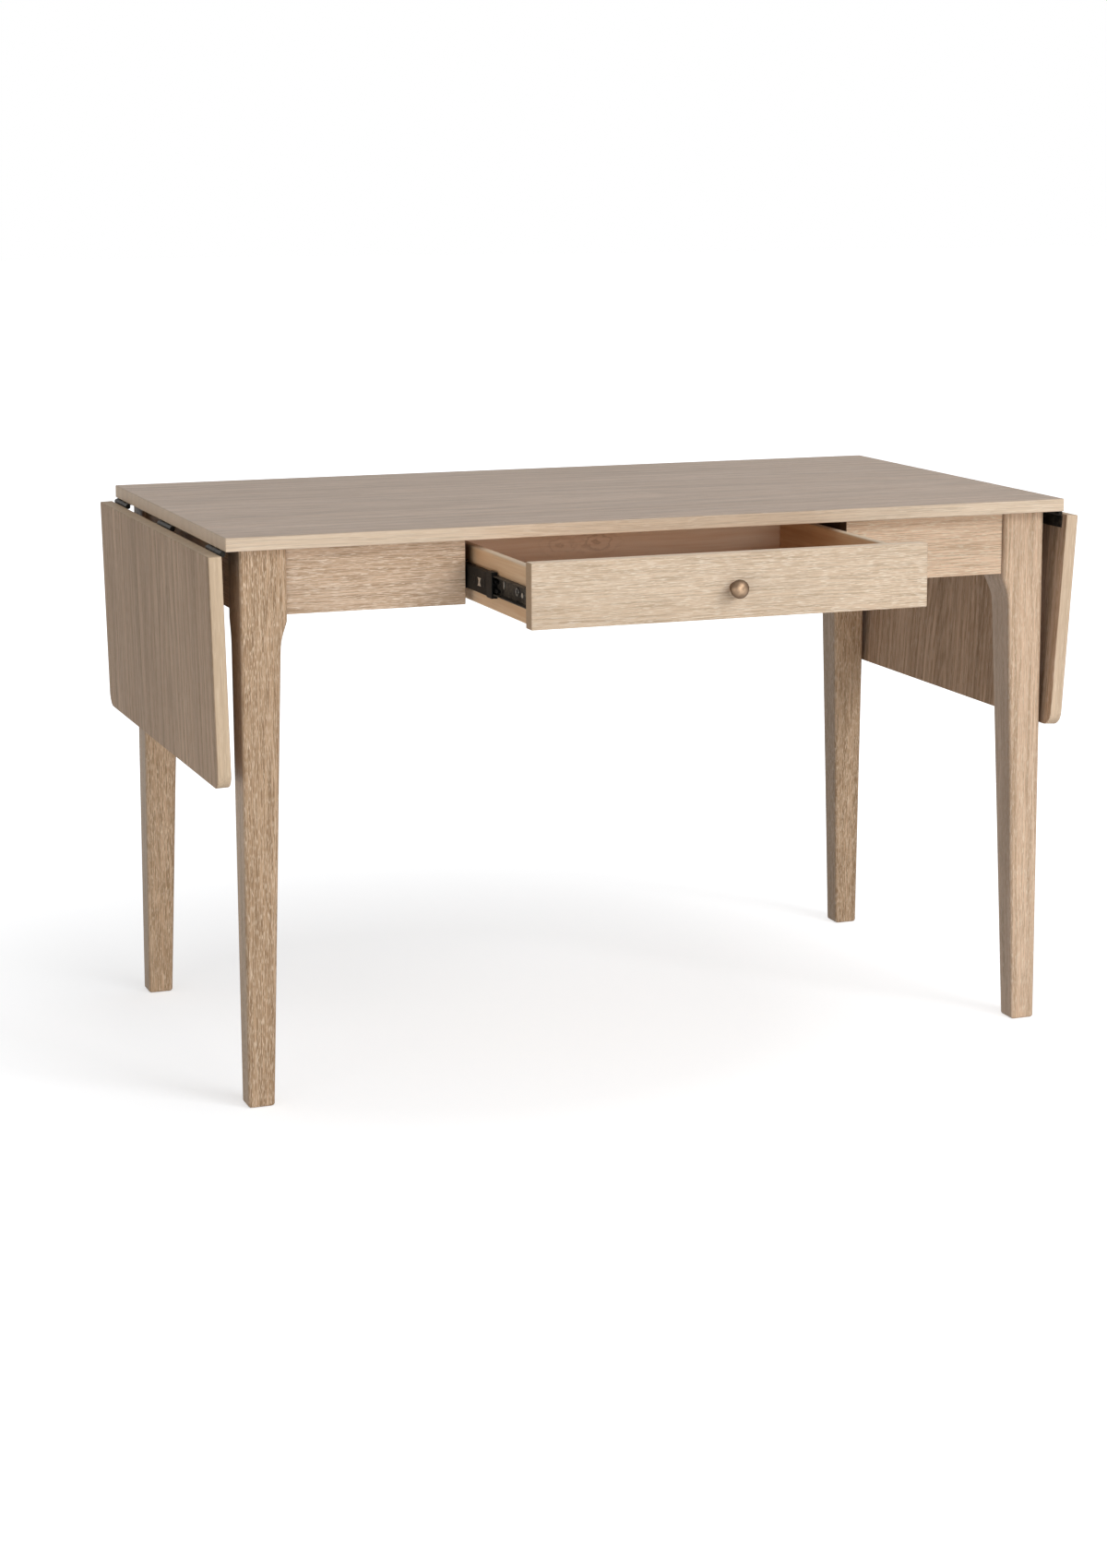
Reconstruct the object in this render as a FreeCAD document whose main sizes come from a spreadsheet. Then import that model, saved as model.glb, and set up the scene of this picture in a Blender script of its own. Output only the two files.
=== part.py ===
"""Extendable desk: a fixed top, a drop leaf at each end, and one drawer on ball-bearing slides.

Millimetres, +X to the right, +Y to the back, +Z up. The origin is on the floor, in the middle of the
box that the desk fills at rest: leaves hanging, drawer part open.
"""
import FreeCAD, Part
import Sketcher
import math
import os

# Driving dimensions. Every other size and place below is worked out from these.
SIZES = {
    # top and leaves
    "desk_height": 750,
    "top_length": 1200,
    "top_depth": 650,
    "top_thickness": 18,
    "board_edge_round": 1.5,
    "leaf_length": 300,
    "leaf_gap": 1.5,
    "leaf_corner_round": 20,
    "left_leaf_lean": 1.5,
    "right_leaf_lean": 4,
    # legs: square, upright outside, tapered inside, flared under the rails
    "leg_inset_x": 22,
    "leg_inset_y": 17,
    "leg_block": 62,
    "leg_neck": 53.5,
    "leg_foot": 35.5,
    "leg_shoulder_drop": 8,
    "leg_flare_height": 26,
    "leg_shoulder_round": 15,
    "leg_neck_round": 80,
    "leg_edge_round": 5,
    "leg_foot_round": 4,
    # rails and corner braces
    "rail_height": 87,
    "rail_thickness": 20,
    "rail_setback": 7,
    "rail_edge_round": 1,
    "brace_thickness": 20,
    "brace_height": 50,
    "drawer_rail_height": 75,
    "drawer_rail_thickness": 20,
    # drawer
    "drawer_open": 246,
    "drawer_front_width": 545,
    "drawer_front_thickness": 20,
    "drawer_side_gap": 2,
    "drawer_top_gap": 2,
    "drawer_bottom_gap": 1.5,
    "drawer_box_depth": 400,
    "drawer_side_height": 73.5,
    "drawer_side_drop": 10,
    "drawer_side_thickness": 12,
    "drawer_side_round": 2.5,
    "drawer_back_drop": 4,
    "drawer_bottom_thickness": 6,
    "drawer_bottom_lift": 8,
    "groove_depth": 5,
    "groove_clearance": 0.2,
    # knob
    "knob_drop": 2,
    "knob_radius": 12,
    "knob_reach": 24,
    "knob_dome_radius": 16,
    "knob_stem_radius": 5,
    "knob_foot_radius": 7,
    "knob_foot_height": 2.5,
    "knob_neck_height": 9,
    "knob_rim_height": 15,
    # drawer slides
    "slide_space": 13,
    "slide_below_top": 50,
    "slide_sheet": 1.2,
    "slide_outer_height": 37,
    "slide_outer_width": 9.5,
    "slide_web_gap": 1.8,
    "slide_flange_gap": 1,
    "slide_edge_gap": 0.8,
    "slide_front_gap": 1,
    "bumper_setback": 7.5,
    "bumper_length": 20,
    "bumper_clearance": 0.4,
    "bumper_web": 1.8,
    "ball_space": 1.8,
    "cage_setback": 130,
    "cage_length": 120,
    "cage_sheet": 0.6,
    "cage_gap": 0.3,
    "ball_pitch": 20,
    "ball_clearance": 0.1,
    # hinges
    "hinge_length": 76,
    "hinge_leg_gap": 2.75,
    "hinge_sheet": 2,
    "hinge_notch_gap": 0.2,
    "hinge_end_inset": 50,
    "knuckle_radius": 3.5,
    "knuckle_gap": 0.5,
    "knuckle_play": 0.4,
    "pin_radius": 1.5,
    "pin_clearance": 0.05,
    "pin_head_radius": 2.6,
    "pin_head_height": 1,
    # leaf supports
    "support_end_gap": 11.5,
    "support_width": 30,
    "support_height": 20,
    "support_clearance": 0.3,
    "guide_brace_gap": 15,
    "guide_end_gap": 21.5,
    "guide_wall": 10,
    "guide_floor": 8,
    # fasteners
    "hole_clearance": 0.1,
    "hinge_screw_radius": 1.75,
    "hinge_screw_head": 3.5,
    "hinge_screw_head_height": 1.8,
    "hinge_screw_length": 14,
    "hinge_screw_pitch": 26,
    "hinge_screw_line": 12,
    "slide_screw_radius": 1.7,
    "slide_screw_head": 3.2,
    "slide_screw_head_height": 1.3,
    "slide_screw_length": 10,
    "slide_screw_first": 37,
    "slide_screw_pitch": 128,
    "top_screw_radius": 2,
    "top_screw_head": 4,
    "top_screw_head_height": 3,
    "top_screw_length": 52,
    "top_screw_bite": 12,
    "top_screw_offset": 22,
    "drawer_rail_screw_inset": 120,
    "leg_bolt_radius": 3,
    "leg_bolt_head": 6,
    "leg_bolt_head_height": 4,
    "leg_bolt_bite": 30,
    "leg_bolt_first_drop": 15,
    "leg_bolt_pitch": 20,
    "knob_screw_radius": 2,
    "knob_screw_head": 4,
    "knob_screw_head_height": 2.5,
    "knob_screw_bite": 10,
}

# Counts of repeated pieces
SCREWS_PER_PLATE = 3
SCREWS_PER_SLIDE = 3
BALLS_PER_ROW = 6
KNUCKLES_PER_HINGE = 5
BOLTS_PER_LEG = 2

RIGHT_ANGLE = 90
X_AXIS = FreeCAD.Vector(1, 0, 0)
Y_AXIS = FreeCAD.Vector(0, 1, 0)
Z_AXIS = FreeCAD.Vector(0, 0, 1)
UPRIGHT = FreeCAD.Rotation()
ALONG_X = FreeCAD.Rotation(Z_AXIS, X_AXIS)
ALONG_MINUS_X = FreeCAD.Rotation(Z_AXIS, -X_AXIS)
ALONG_Y = FreeCAD.Rotation(Z_AXIS, Y_AXIS)
ALONG_MINUS_Y = FreeCAD.Rotation(Z_AXIS, -Y_AXIS)
INTO_FRONT_LEFT_LEG = FreeCAD.Rotation(Z_AXIS, -X_AXIS - Y_AXIS)

# Places that several pieces share, as expressions on the sheet
MIDDLE = "((Sizes.drawer_open + Sizes.knob_reach - Sizes.leg_inset_y - Sizes.rail_setback) / 2)"
LEFT_EDGE = "(-Sizes.top_length / 2)"
FRONT_EDGE = f"({MIDDLE} - Sizes.top_depth / 2)"
UNDERSIDE = "(Sizes.desk_height - Sizes.top_thickness)"
LEG_LEFT = f"({LEFT_EDGE} + Sizes.leg_inset_x)"
LEG_FRONT = f"({FRONT_EDGE} + Sizes.leg_inset_y)"
LEG_INNER_X = f"({LEG_LEFT} + Sizes.leg_block)"
LEG_INNER_Y = f"({LEG_FRONT} + Sizes.leg_block)"
RAIL_LEFT = f"({LEG_LEFT} + Sizes.rail_setback)"
RAIL_FRONT = f"({LEG_FRONT} + Sizes.rail_setback)"
RAIL_INNER_X = f"({RAIL_LEFT} + Sizes.rail_thickness)"
RAIL_INNER_Y = f"({RAIL_FRONT} + Sizes.rail_thickness)"
RAIL_BOTTOM = f"({UNDERSIDE} - Sizes.rail_height)"
OPENING_LEFT = "(-Sizes.drawer_front_width / 2 - Sizes.drawer_side_gap)"
BOX_LEFT = f"({OPENING_LEFT} + Sizes.slide_space)"
BOX_INSIDE_LEFT = f"({BOX_LEFT} + Sizes.drawer_side_thickness)"
DRAWER_FACE = f"({RAIL_FRONT} - Sizes.drawer_open)"
BOX_FRONT = f"({DRAWER_FACE} + Sizes.drawer_front_thickness)"
DRAWER_FRONT_BOTTOM = f"({RAIL_BOTTOM} + Sizes.drawer_bottom_gap)"
DRAWER_FRONT_HEIGHT = "(Sizes.rail_height - Sizes.drawer_top_gap - Sizes.drawer_bottom_gap)"
BOX_TOP = f"({UNDERSIDE} - Sizes.drawer_top_gap - Sizes.drawer_side_drop)"
BOX_BOTTOM = f"({BOX_TOP} - Sizes.drawer_side_height)"
FLOOR_BOTTOM = f"({BOX_BOTTOM} + Sizes.drawer_bottom_lift)"
FLOOR_TOP = f"({FLOOR_BOTTOM} + Sizes.drawer_bottom_thickness)"
KNOB_HEIGHT = f"({DRAWER_FRONT_BOTTOM} + {DRAWER_FRONT_HEIGHT} / 2 - Sizes.knob_drop)"
SLIDE_HEIGHT = f"({UNDERSIDE} - Sizes.slide_below_top)"
SLIDE_FRONT = f"({RAIL_FRONT} + Sizes.drawer_front_thickness + Sizes.slide_front_gap)"
SLIDE_LENGTH = "Sizes.drawer_box_depth"
MIDDLE_START = "(Sizes.slide_sheet + Sizes.slide_web_gap)"
MIDDLE_WIDTH = f"(Sizes.slide_space - Sizes.slide_sheet - Sizes.slide_edge_gap - {MIDDLE_START})"
INNER_START = f"({MIDDLE_START} + Sizes.slide_sheet + Sizes.slide_flange_gap)"
CAGE_START = f"({MIDDLE_START} + Sizes.slide_sheet + Sizes.cage_gap)"
CAGE_WIDTH = f"({MIDDLE_WIDTH} - 2 * (Sizes.slide_sheet + Sizes.cage_gap))"
OUTER_INSIDE = "(Sizes.slide_outer_height / 2 - Sizes.slide_sheet)"
MIDDLE_OUTSIDE = f"({OUTER_INSIDE} - Sizes.ball_space)"
MIDDLE_INSIDE = f"({MIDDLE_OUTSIDE} - Sizes.slide_sheet)"
INNER_OUTSIDE = f"({MIDDLE_INSIDE} - Sizes.ball_space)"
HINGE_DROP = "(Sizes.knuckle_radius + Sizes.knuckle_gap)"
HINGE_WIDTH = "(Sizes.leg_inset_x + Sizes.leaf_gap / 2 - Sizes.hinge_leg_gap)"
HINGE_NOTCH = "(Sizes.knuckle_radius + Sizes.hinge_notch_gap)"
HINGE_SPREAD = "(Sizes.top_depth / 2 - Sizes.hinge_end_inset)"
PIVOT_X = "(Sizes.top_length / 2 + Sizes.leaf_gap / 2)"
PIVOT_Z = f"({UNDERSIDE} - {HINGE_DROP})"
LEG_INTRUSION = "(Sizes.leg_block - Sizes.rail_setback - Sizes.rail_thickness)"
BRACE_NEAR = f"(2 * {LEG_INTRUSION} - (2 - sqrt(2)) * Sizes.leg_edge_round)"
BRACE_FAR = f"({BRACE_NEAR} + sqrt(2) * Sizes.brace_thickness)"
BRACE_CENTRE = f"(({BRACE_NEAR} + {BRACE_FAR}) / 4)"
TOP_SCREW_SEAT = f"({UNDERSIDE} + Sizes.top_screw_bite - Sizes.top_screw_length)"
SUPPORT_BOTTOM = f"({UNDERSIDE} - Sizes.support_height - 2 * Sizes.support_clearance)"
GUIDE_INSIDE = "(Sizes.support_width + 2 * Sizes.support_clearance)"
GUIDE_FRONT = f"({RAIL_INNER_Y} + {BRACE_FAR} + Sizes.guide_brace_gap)"
GROOVE_FRONT = f"({GUIDE_FRONT} + Sizes.guide_wall)"
DRAWER_RAIL_LEFT = f"({OPENING_LEFT} - Sizes.drawer_rail_thickness)"

document = FreeCAD.newDocument("extendable_desk")
pieces = []


# Helpers that turn expressions into document objects

def make_sheet():
    sheet = document.addObject("Spreadsheet::Sheet", "Sizes")
    for row, (alias, value) in enumerate(SIZES.items(), start=1):
        sheet.set(f"A{row}", alias)
        sheet.set(f"B{row}", str(value))
        sheet.setAlias(f"B{row}", alias)
    document.recompute()


def place(item, corner, turn=UPRIGHT):
    item.Placement = FreeCAD.Placement(FreeCAD.Vector(), turn)
    for axis, text in zip("xyz", corner):
        item.setExpression(f"Placement.Base.{axis}", text)
    return item


def keep(label, item):
    """Give a finished piece the name of its node."""
    item.Label = label
    pieces.append(item)


def size_by(item, properties, texts):
    for name, text in zip(properties, texts):
        item.setExpression(name, text)
    return item


def block(name, size, corner):
    item = document.addObject("Part::Box", name)
    return place(size_by(item, ("Length", "Width", "Height"), size), corner)


def rod(name, radius, length, start, turn=UPRIGHT):
    item = document.addObject("Part::Cylinder", name)
    return place(size_by(item, ("Radius", "Height"), (radius, length)), start, turn)


def cone(name, radii, length, start, turn=UPRIGHT):
    item = document.addObject("Part::Cone", name)
    return place(size_by(item, ("Radius1", "Radius2", "Height"), (*radii, length)), start, turn)


def ball(name, radius, centre):
    item = document.addObject("Part::Sphere", name)
    return place(size_by(item, ("Radius",), (radius,)), centre)


def fuse(name, members):
    item = document.addObject("Part::MultiFuse", name)
    item.Shapes = members
    return item


def group(name, members):
    item = document.addObject("Part::Compound", name)
    item.Links = members
    return item


def cut(name, base, tools):
    item = document.addObject("Part::Cut", name)
    item.Base = base
    item.Tool = group(f"{name}_tools", tools)
    return item


def placed_copy(name, source, corner, turn=UPRIGHT):
    return place(group(name, [source]), corner, turn)


def mirrored(name, source, normal):
    """A mirror image across the desk's own middle plane."""
    item = document.addObject("Part::Mirroring", name)
    item.Source = source
    item.Normal = normal
    item.setExpression("Base.y", MIDDLE)
    return item


def both_sides(name, source):
    return [source, mirrored(f"{name}_right", source, X_AXIS)]


def four_corners(name, source):
    """The front left item and its three mirror images, in the order of CORNERS."""
    front = both_sides(f"{name}_front", source)
    back = [mirrored(f"{name}_back_{number}", item, Y_AXIS) for number, item in enumerate(front)]
    return front + back


CORNERS = ("front_left", "front_right", "back_left", "back_right")


def centred_steps(count):
    return [step - (count - 1) / 2 for step in range(count)]


def edge_names(feature, wanted):
    numbered = enumerate(feature.Shape.Edges, start=1)
    return [f"Edge{number}" for number, edge in numbered if wanted(edge)]


def round_edges(body, base, name, radius, wanted):
    document.recompute()
    rounding = body.newObject("PartDesign::Fillet", name)
    rounding.Base = (base, edge_names(base, wanted))
    rounding.setExpression("Radius", radius)
    document.recompute()
    return rounding


def any_edge(edge):
    return True


def upright_edge(edge):
    return edge.BoundBox.ZLength > edge.Length / 2


def front_to_back_edge(edge):
    return edge.BoundBox.YLength > edge.Length / 2


def floor_edge(edge):
    return edge.BoundBox.ZMax < edge.Length / 1000


def plain_board(name, size):
    """A body with one square-edged board, its corner at the body's origin."""
    body = document.addObject("PartDesign::Body", name)
    board = body.newObject("PartDesign::AdditiveBox", f"{name}_board")
    size_by(board, ("Length", "Width", "Height"), size)
    return body, board


def rounded_board(name, size, corner, radius, wanted=any_edge):
    body, board = plain_board(name, size)
    round_edges(body, board, f"{name}_rounding", radius, wanted)
    return place(body, corner)


def outline(body, name, plane_role, corners):
    """A closed sketch of straight lines, with each corner held by its distances from the origin."""
    plane = next(item for item in body.Origin.OriginFeatures if item.Role == plane_role)
    sketch = body.newObject("Sketcher::SketchObject", name)
    sketch.AttachmentSupport = [(plane, "")]
    sketch.MapMode = "FlatFace"
    count = len(corners)
    turns = [2 * math.pi * number / count for number in range(count)]
    ring = [FreeCAD.Vector(math.cos(turn), math.sin(turn), 0) for turn in turns]
    for number in range(count):
        sketch.addGeometry(Part.LineSegment(ring[number], ring[(number + 1) % count]))
    for number in range(count):
        sketch.addConstraint(Sketcher.Constraint("Coincident", number, 2, (number + 1) % count, 1))
    for number, distances in enumerate(corners):
        for kind, text in zip(("DistanceX", "DistanceY"), distances):
            hold = sketch.addConstraint(Sketcher.Constraint(kind, -1, 1, number, 1, 1.0 + number))
            sketch.setExpression(f"Constraints[{hold}]", text)
    document.recompute()
    return sketch


def round_corner(sketch, corner, radius):
    """Round one corner of an outline, which keeps its corner point for its distances."""
    start_radius = 1.0
    sketch.fillet(corner, 1, start_radius, True, True)
    is_arc = [item.TypeId == "Part::GeomArcOfCircle" for item in sketch.Geometry]
    arc = len(is_arc) - 1 - is_arc[::-1].index(True)
    hold = sketch.addConstraint(Sketcher.Constraint("Radius", arc, start_radius))
    sketch.setExpression(f"Constraints[{hold}]", radius)
    document.recompute()


# Fasteners: each is made once, pointing up from the seat of its head, and then copied

def countersunk_screw():
    radius = "Sizes.hinge_screw_radius"
    head = cone("hinge_screw_top", ("Sizes.hinge_screw_head", radius), "Sizes.hinge_screw_head_height",
                ("0", "0", "0"))
    shank = rod("hinge_screw_shank", radius, "Sizes.hinge_screw_length", ("0", "0", "0"))
    return fuse("hinge_screw_pattern", [head, shank])


def headed_screw(kind, length):
    below_seat = ("0", "0", f"-Sizes.{kind}_head_height")
    head = rod(f"{kind}_top", f"Sizes.{kind}_head", f"Sizes.{kind}_head_height", below_seat)
    shank = rod(f"{kind}_shank", f"Sizes.{kind}_radius", length, ("0", "0", "0"))
    return fuse(f"{kind}_pattern", [head, shank])


def hole(name, kind, length, start, turn=UPRIGHT):
    return rod(name, f"Sizes.{kind}_radius + Sizes.hole_clearance", length, start, turn)


# Places of the fasteners

def hinge_steps():
    return list(zip(("front", "middle", "back"), centred_steps(3)))


def plate_screw_places(side, with_hinges):
    """Hinge screw places on one side: local to a hinge's middle, or for all three hinges."""
    across = f"{side} * Sizes.hinge_screw_line"
    along = [f"{step} * Sizes.hinge_screw_pitch" for step in centred_steps(SCREWS_PER_PLATE)]
    if not with_hinges:
        return [(across, text) for text in along]
    rows = [f"{step} * {HINGE_SPREAD}" for _, step in hinge_steps()]
    return [(across, f"{row} + {text}") for row in rows for text in along]


def slide_screw_places(front):
    return [f"{front} + Sizes.slide_screw_first + {number} * Sizes.slide_screw_pitch"
            for number in range(SCREWS_PER_SLIDE)]


def leg_bolt_heights():
    return [f"{UNDERSIDE} - Sizes.leg_bolt_first_drop - {number} * Sizes.leg_bolt_pitch"
            for number in range(BOLTS_PER_LEG)]


BRACE_SCREW = (f"{RAIL_INNER_X} + {BRACE_CENTRE} + Sizes.top_screw_offset",
               f"{RAIL_INNER_Y} + {BRACE_CENTRE} - Sizes.top_screw_offset")
DRAWER_RAIL_MIDDLE = f"({OPENING_LEFT} - Sizes.drawer_rail_thickness / 2)"
DRAWER_RAIL_SCREW = (DRAWER_RAIL_MIDDLE, f"{RAIL_INNER_Y} + Sizes.drawer_rail_screw_inset")
LEG_BOLT_SEAT = (f"{RAIL_INNER_X} + {BRACE_FAR} / 2", f"{RAIL_INNER_Y} + {BRACE_FAR} / 2")
LEG_BOLT_LENGTH = "(Sizes.brace_thickness + Sizes.leg_bolt_bite)"


# Frame

def make_top():
    size = ("Sizes.top_length", "Sizes.top_depth", "Sizes.top_thickness")
    corner = (LEFT_EDGE, FRONT_EDGE, UNDERSIDE)
    board = rounded_board("top_blank", size, corner, "Sizes.board_edge_round")
    holes = []
    depth = "Sizes.hinge_screw_length - Sizes.hinge_sheet + Sizes.hole_clearance"
    for side in (-1, 1):
        for across, along in plate_screw_places(-side, True):
            start = (f"{side} * {PIVOT_X} + {across}", f"{MIDDLE} + {along}", UNDERSIDE)
            holes.append(hole("top_hinge_hole", "hinge_screw", depth, start))
    depth = "Sizes.top_screw_bite + Sizes.hole_clearance"
    for place_name, spot in (("brace", BRACE_SCREW), ("drawer_rail", DRAWER_RAIL_SCREW)):
        first = hole(f"top_{place_name}_hole", "top_screw", depth, (*spot, UNDERSIDE))
        holes.extend(four_corners(f"top_{place_name}_hole", first))
    keep("table_top", cut("top_drilled", board, holes))


def leg_profile(body, name, plane_role, start, end):
    """The leg's inner edge from foot to top, closed through the given end points."""
    shoulder = f"{RAIL_BOTTOM} - Sizes.leg_shoulder_drop"
    neck = f"{shoulder} - Sizes.leg_flare_height"
    corners = [("Sizes.leg_foot", "0"), ("Sizes.leg_neck", neck), ("Sizes.leg_block", shoulder),
               ("Sizes.leg_block", UNDERSIDE), end, start]
    sketch = outline(body, name, plane_role, corners)
    round_corner(sketch, 1, "Sizes.leg_neck_round")
    round_corner(sketch, 2, "Sizes.leg_shoulder_round")
    return sketch


def make_legs():
    body = document.addObject("PartDesign::Body", "leg_blank")
    pad = body.newObject("PartDesign::Pad", "leg_pad")
    pad.Profile = leg_profile(body, "leg_front_profile", "XZ_Plane", ("0", "0"), ("0", UNDERSIDE))
    pad.Reversed = True
    pad.setExpression("Length", "Sizes.leg_block")
    document.recompute()
    outside = "2 * Sizes.leg_block"
    pocket = body.newObject("PartDesign::Pocket", "leg_side_pocket")
    pocket.Profile = leg_profile(body, "leg_side_profile", "YZ_Plane", (outside, "0"), (outside, UNDERSIDE))
    pocket.Type = "ThroughAll"
    pocket.Reversed = True
    sides = round_edges(body, pocket, "leg_edge_rounding", "Sizes.leg_edge_round", upright_edge)
    round_edges(body, sides, "leg_foot_rounding", "Sizes.leg_foot_round", floor_edge)
    place(body, (LEG_LEFT, LEG_FRONT, "0"))
    holes = [hole(f"leg_hole_{number}", "leg_bolt", f"{LEG_BOLT_LENGTH} + Sizes.hole_clearance",
                  (*LEG_BOLT_SEAT, height), INTO_FRONT_LEFT_LEG)
             for number, height in enumerate(leg_bolt_heights())]
    leg = cut("leg_drilled", body, holes)
    for corner, item in zip(CORNERS, four_corners("leg", leg)):
        keep(f"{corner}_leg", item)


def make_front_and_back_rails():
    length = f"{OPENING_LEFT} - {LEG_INNER_X}"
    corner = (LEG_INNER_X, RAIL_FRONT, RAIL_BOTTOM)
    left = rounded_board("front_rail", (length, "Sizes.rail_thickness", "Sizes.rail_height"), corner,
                         "Sizes.rail_edge_round")
    for side, item in zip(("left", "right"), both_sides("front_rail", left)):
        keep(f"front_rail_{side}", item)
    size = (f"-2 * {LEG_INNER_X}", "Sizes.rail_thickness", "Sizes.rail_height")
    corner = (LEG_INNER_X, f"2 * {MIDDLE} - {RAIL_INNER_Y}", RAIL_BOTTOM)
    keep("back_rail", rounded_board("back_rail_board", size, corner, "Sizes.rail_edge_round"))


def make_end_rails():
    length = f"2 * ({MIDDLE} - {LEG_INNER_Y})"
    corner = (RAIL_LEFT, LEG_INNER_Y, RAIL_BOTTOM)
    board = rounded_board("end_rail", ("Sizes.rail_thickness", length, "Sizes.rail_height"), corner,
                          "Sizes.rail_edge_round")
    floor = f"({SUPPORT_BOTTOM} - Sizes.support_clearance)"
    size = ("2 * Sizes.rail_thickness", GUIDE_INSIDE, f"{UNDERSIDE} - {floor} + Sizes.support_clearance")
    notch = block("end_rail_notch", size, (f"{RAIL_LEFT} - Sizes.rail_thickness / 2", GROOVE_FRONT, floor))
    rail = cut("end_rail_notched", board, [notch, mirrored("end_rail_back_notch", notch, Y_AXIS)])
    for side, item in zip(("left", "right"), both_sides("end_rail", rail)):
        keep(f"end_rail_{side}", item)


def make_drawer_rails():
    length = f"2 * ({MIDDLE} - {RAIL_INNER_Y})"
    bottom = f"{UNDERSIDE} - Sizes.drawer_rail_height"
    corner = (DRAWER_RAIL_LEFT, RAIL_INNER_Y, bottom)
    size = ("Sizes.drawer_rail_thickness", length, "Sizes.drawer_rail_height")
    board = rounded_board("drawer_rail", size, corner, "Sizes.rail_edge_round")
    front = hole("drawer_rail_hole", "top_screw", "Sizes.drawer_rail_height", (*DRAWER_RAIL_SCREW, bottom))
    sink = rod("drawer_rail_sink", "Sizes.top_screw_head + Sizes.hole_clearance",
               f"{TOP_SCREW_SEAT} - ({bottom})", (*DRAWER_RAIL_SCREW, bottom))
    tools = [front, sink, mirrored("drawer_rail_back_hole", front, Y_AXIS),
             mirrored("drawer_rail_back_sink", sink, Y_AXIS)]
    drilled = cut("drawer_rail_drilled", board, [fuse("drawer_rail_screw_holes", tools)])
    depth = "Sizes.slide_screw_length - Sizes.slide_sheet + Sizes.hole_clearance"
    holes = [hole("drawer_rail_slide_hole", "slide_screw", depth, (OPENING_LEFT, along, SLIDE_HEIGHT),
                  ALONG_MINUS_X)
             for along in slide_screw_places(SLIDE_FRONT)]
    rail = cut("drawer_rail_finished", drilled, holes)
    for side, item in zip(("left", "right"), both_sides("drawer_rail", rail)):
        keep(f"drawer_rail_{side}", item)


def make_braces():
    body = document.addObject("PartDesign::Body", "brace_blank")
    corners = [(BRACE_NEAR, "0"), (BRACE_FAR, "0"), ("0", BRACE_FAR), ("0", BRACE_NEAR)]
    pad = body.newObject("PartDesign::Pad", "brace_pad")
    pad.Profile = outline(body, "brace_outline", "XY_Plane", corners)
    pad.setExpression("Length", "Sizes.brace_height")
    bottom = f"({UNDERSIDE} - Sizes.brace_height)"
    place(body, (RAIL_INNER_X, RAIL_INNER_Y, bottom))
    upright = hole("brace_screw_hole", "top_screw", "Sizes.brace_height", (*BRACE_SCREW, bottom))
    sink = rod("brace_screw_sink", "Sizes.top_screw_head + Sizes.hole_clearance",
               f"{TOP_SCREW_SEAT} - {bottom}", (*BRACE_SCREW, bottom))
    tools = [fuse("brace_screw_room", [upright, sink])]
    for number, height in enumerate(leg_bolt_heights()):
        tools.append(hole(f"brace_bolt_hole_{number}", "leg_bolt", LEG_BOLT_LENGTH,
                          (*LEG_BOLT_SEAT, height), INTO_FRONT_LEFT_LEG))
    brace = cut("brace_drilled", body, tools)
    for corner, item in zip(CORNERS, four_corners("brace", brace)):
        keep(f"{corner}_brace", item)


def make_frame_fasteners():
    bolt = headed_screw("leg_bolt", LEG_BOLT_LENGTH)
    bolts = [placed_copy(f"leg_bolt_{number}", bolt, (*LEG_BOLT_SEAT, height), INTO_FRONT_LEFT_LEG)
             for number, height in enumerate(leg_bolt_heights())]
    pair = group("front_left_bolts", bolts)
    keep("leg_bolts", group("all_leg_bolts", four_corners("leg_bolt_pair", pair)))
    screw = headed_screw("top_screw", "Sizes.top_screw_length")
    spots = (("brace", BRACE_SCREW), ("drawer_rail", DRAWER_RAIL_SCREW))
    first = [placed_copy(f"{name}_top_screw", screw, (*spot, TOP_SCREW_SEAT)) for name, spot in spots]
    pair = group("front_left_top_screws", first)
    keep("top_screws", group("all_top_screws", four_corners("top_screw_pair", pair)))


# Leaf supports: bars that pull out under a raised leaf, and the grooved guides they slide in

def make_supports():
    size = (f"{DRAWER_RAIL_LEFT} - Sizes.support_end_gap - {RAIL_LEFT}", "Sizes.support_width",
            "Sizes.support_height")
    corner = (RAIL_LEFT, f"{GROOVE_FRONT} + Sizes.support_clearance", SUPPORT_BOTTOM)
    bar = rounded_board("support", size, corner, "Sizes.rail_edge_round")
    for name, item in zip(CORNERS, four_corners("support", bar)):
        keep(f"{name}_support", item)
    length = f"{DRAWER_RAIL_LEFT} - Sizes.guide_end_gap - {RAIL_INNER_X}"
    floor = f"({SUPPORT_BOTTOM} - Sizes.support_clearance - Sizes.guide_floor)"
    height = f"{UNDERSIDE} - {floor}"
    solid = block("guide_solid", (length, f"{GUIDE_INSIDE} + 2 * Sizes.guide_wall", height),
                  (RAIL_INNER_X, GUIDE_FRONT, floor))
    groove = block("guide_groove", (length, GUIDE_INSIDE, height),
                   (RAIL_INNER_X, GROOVE_FRONT, f"{floor} + Sizes.guide_floor"))
    guides = four_corners("guide", cut("guide", solid, [groove]))
    keep("support_guides", group("all_support_guides", guides))


# Drawer

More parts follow.
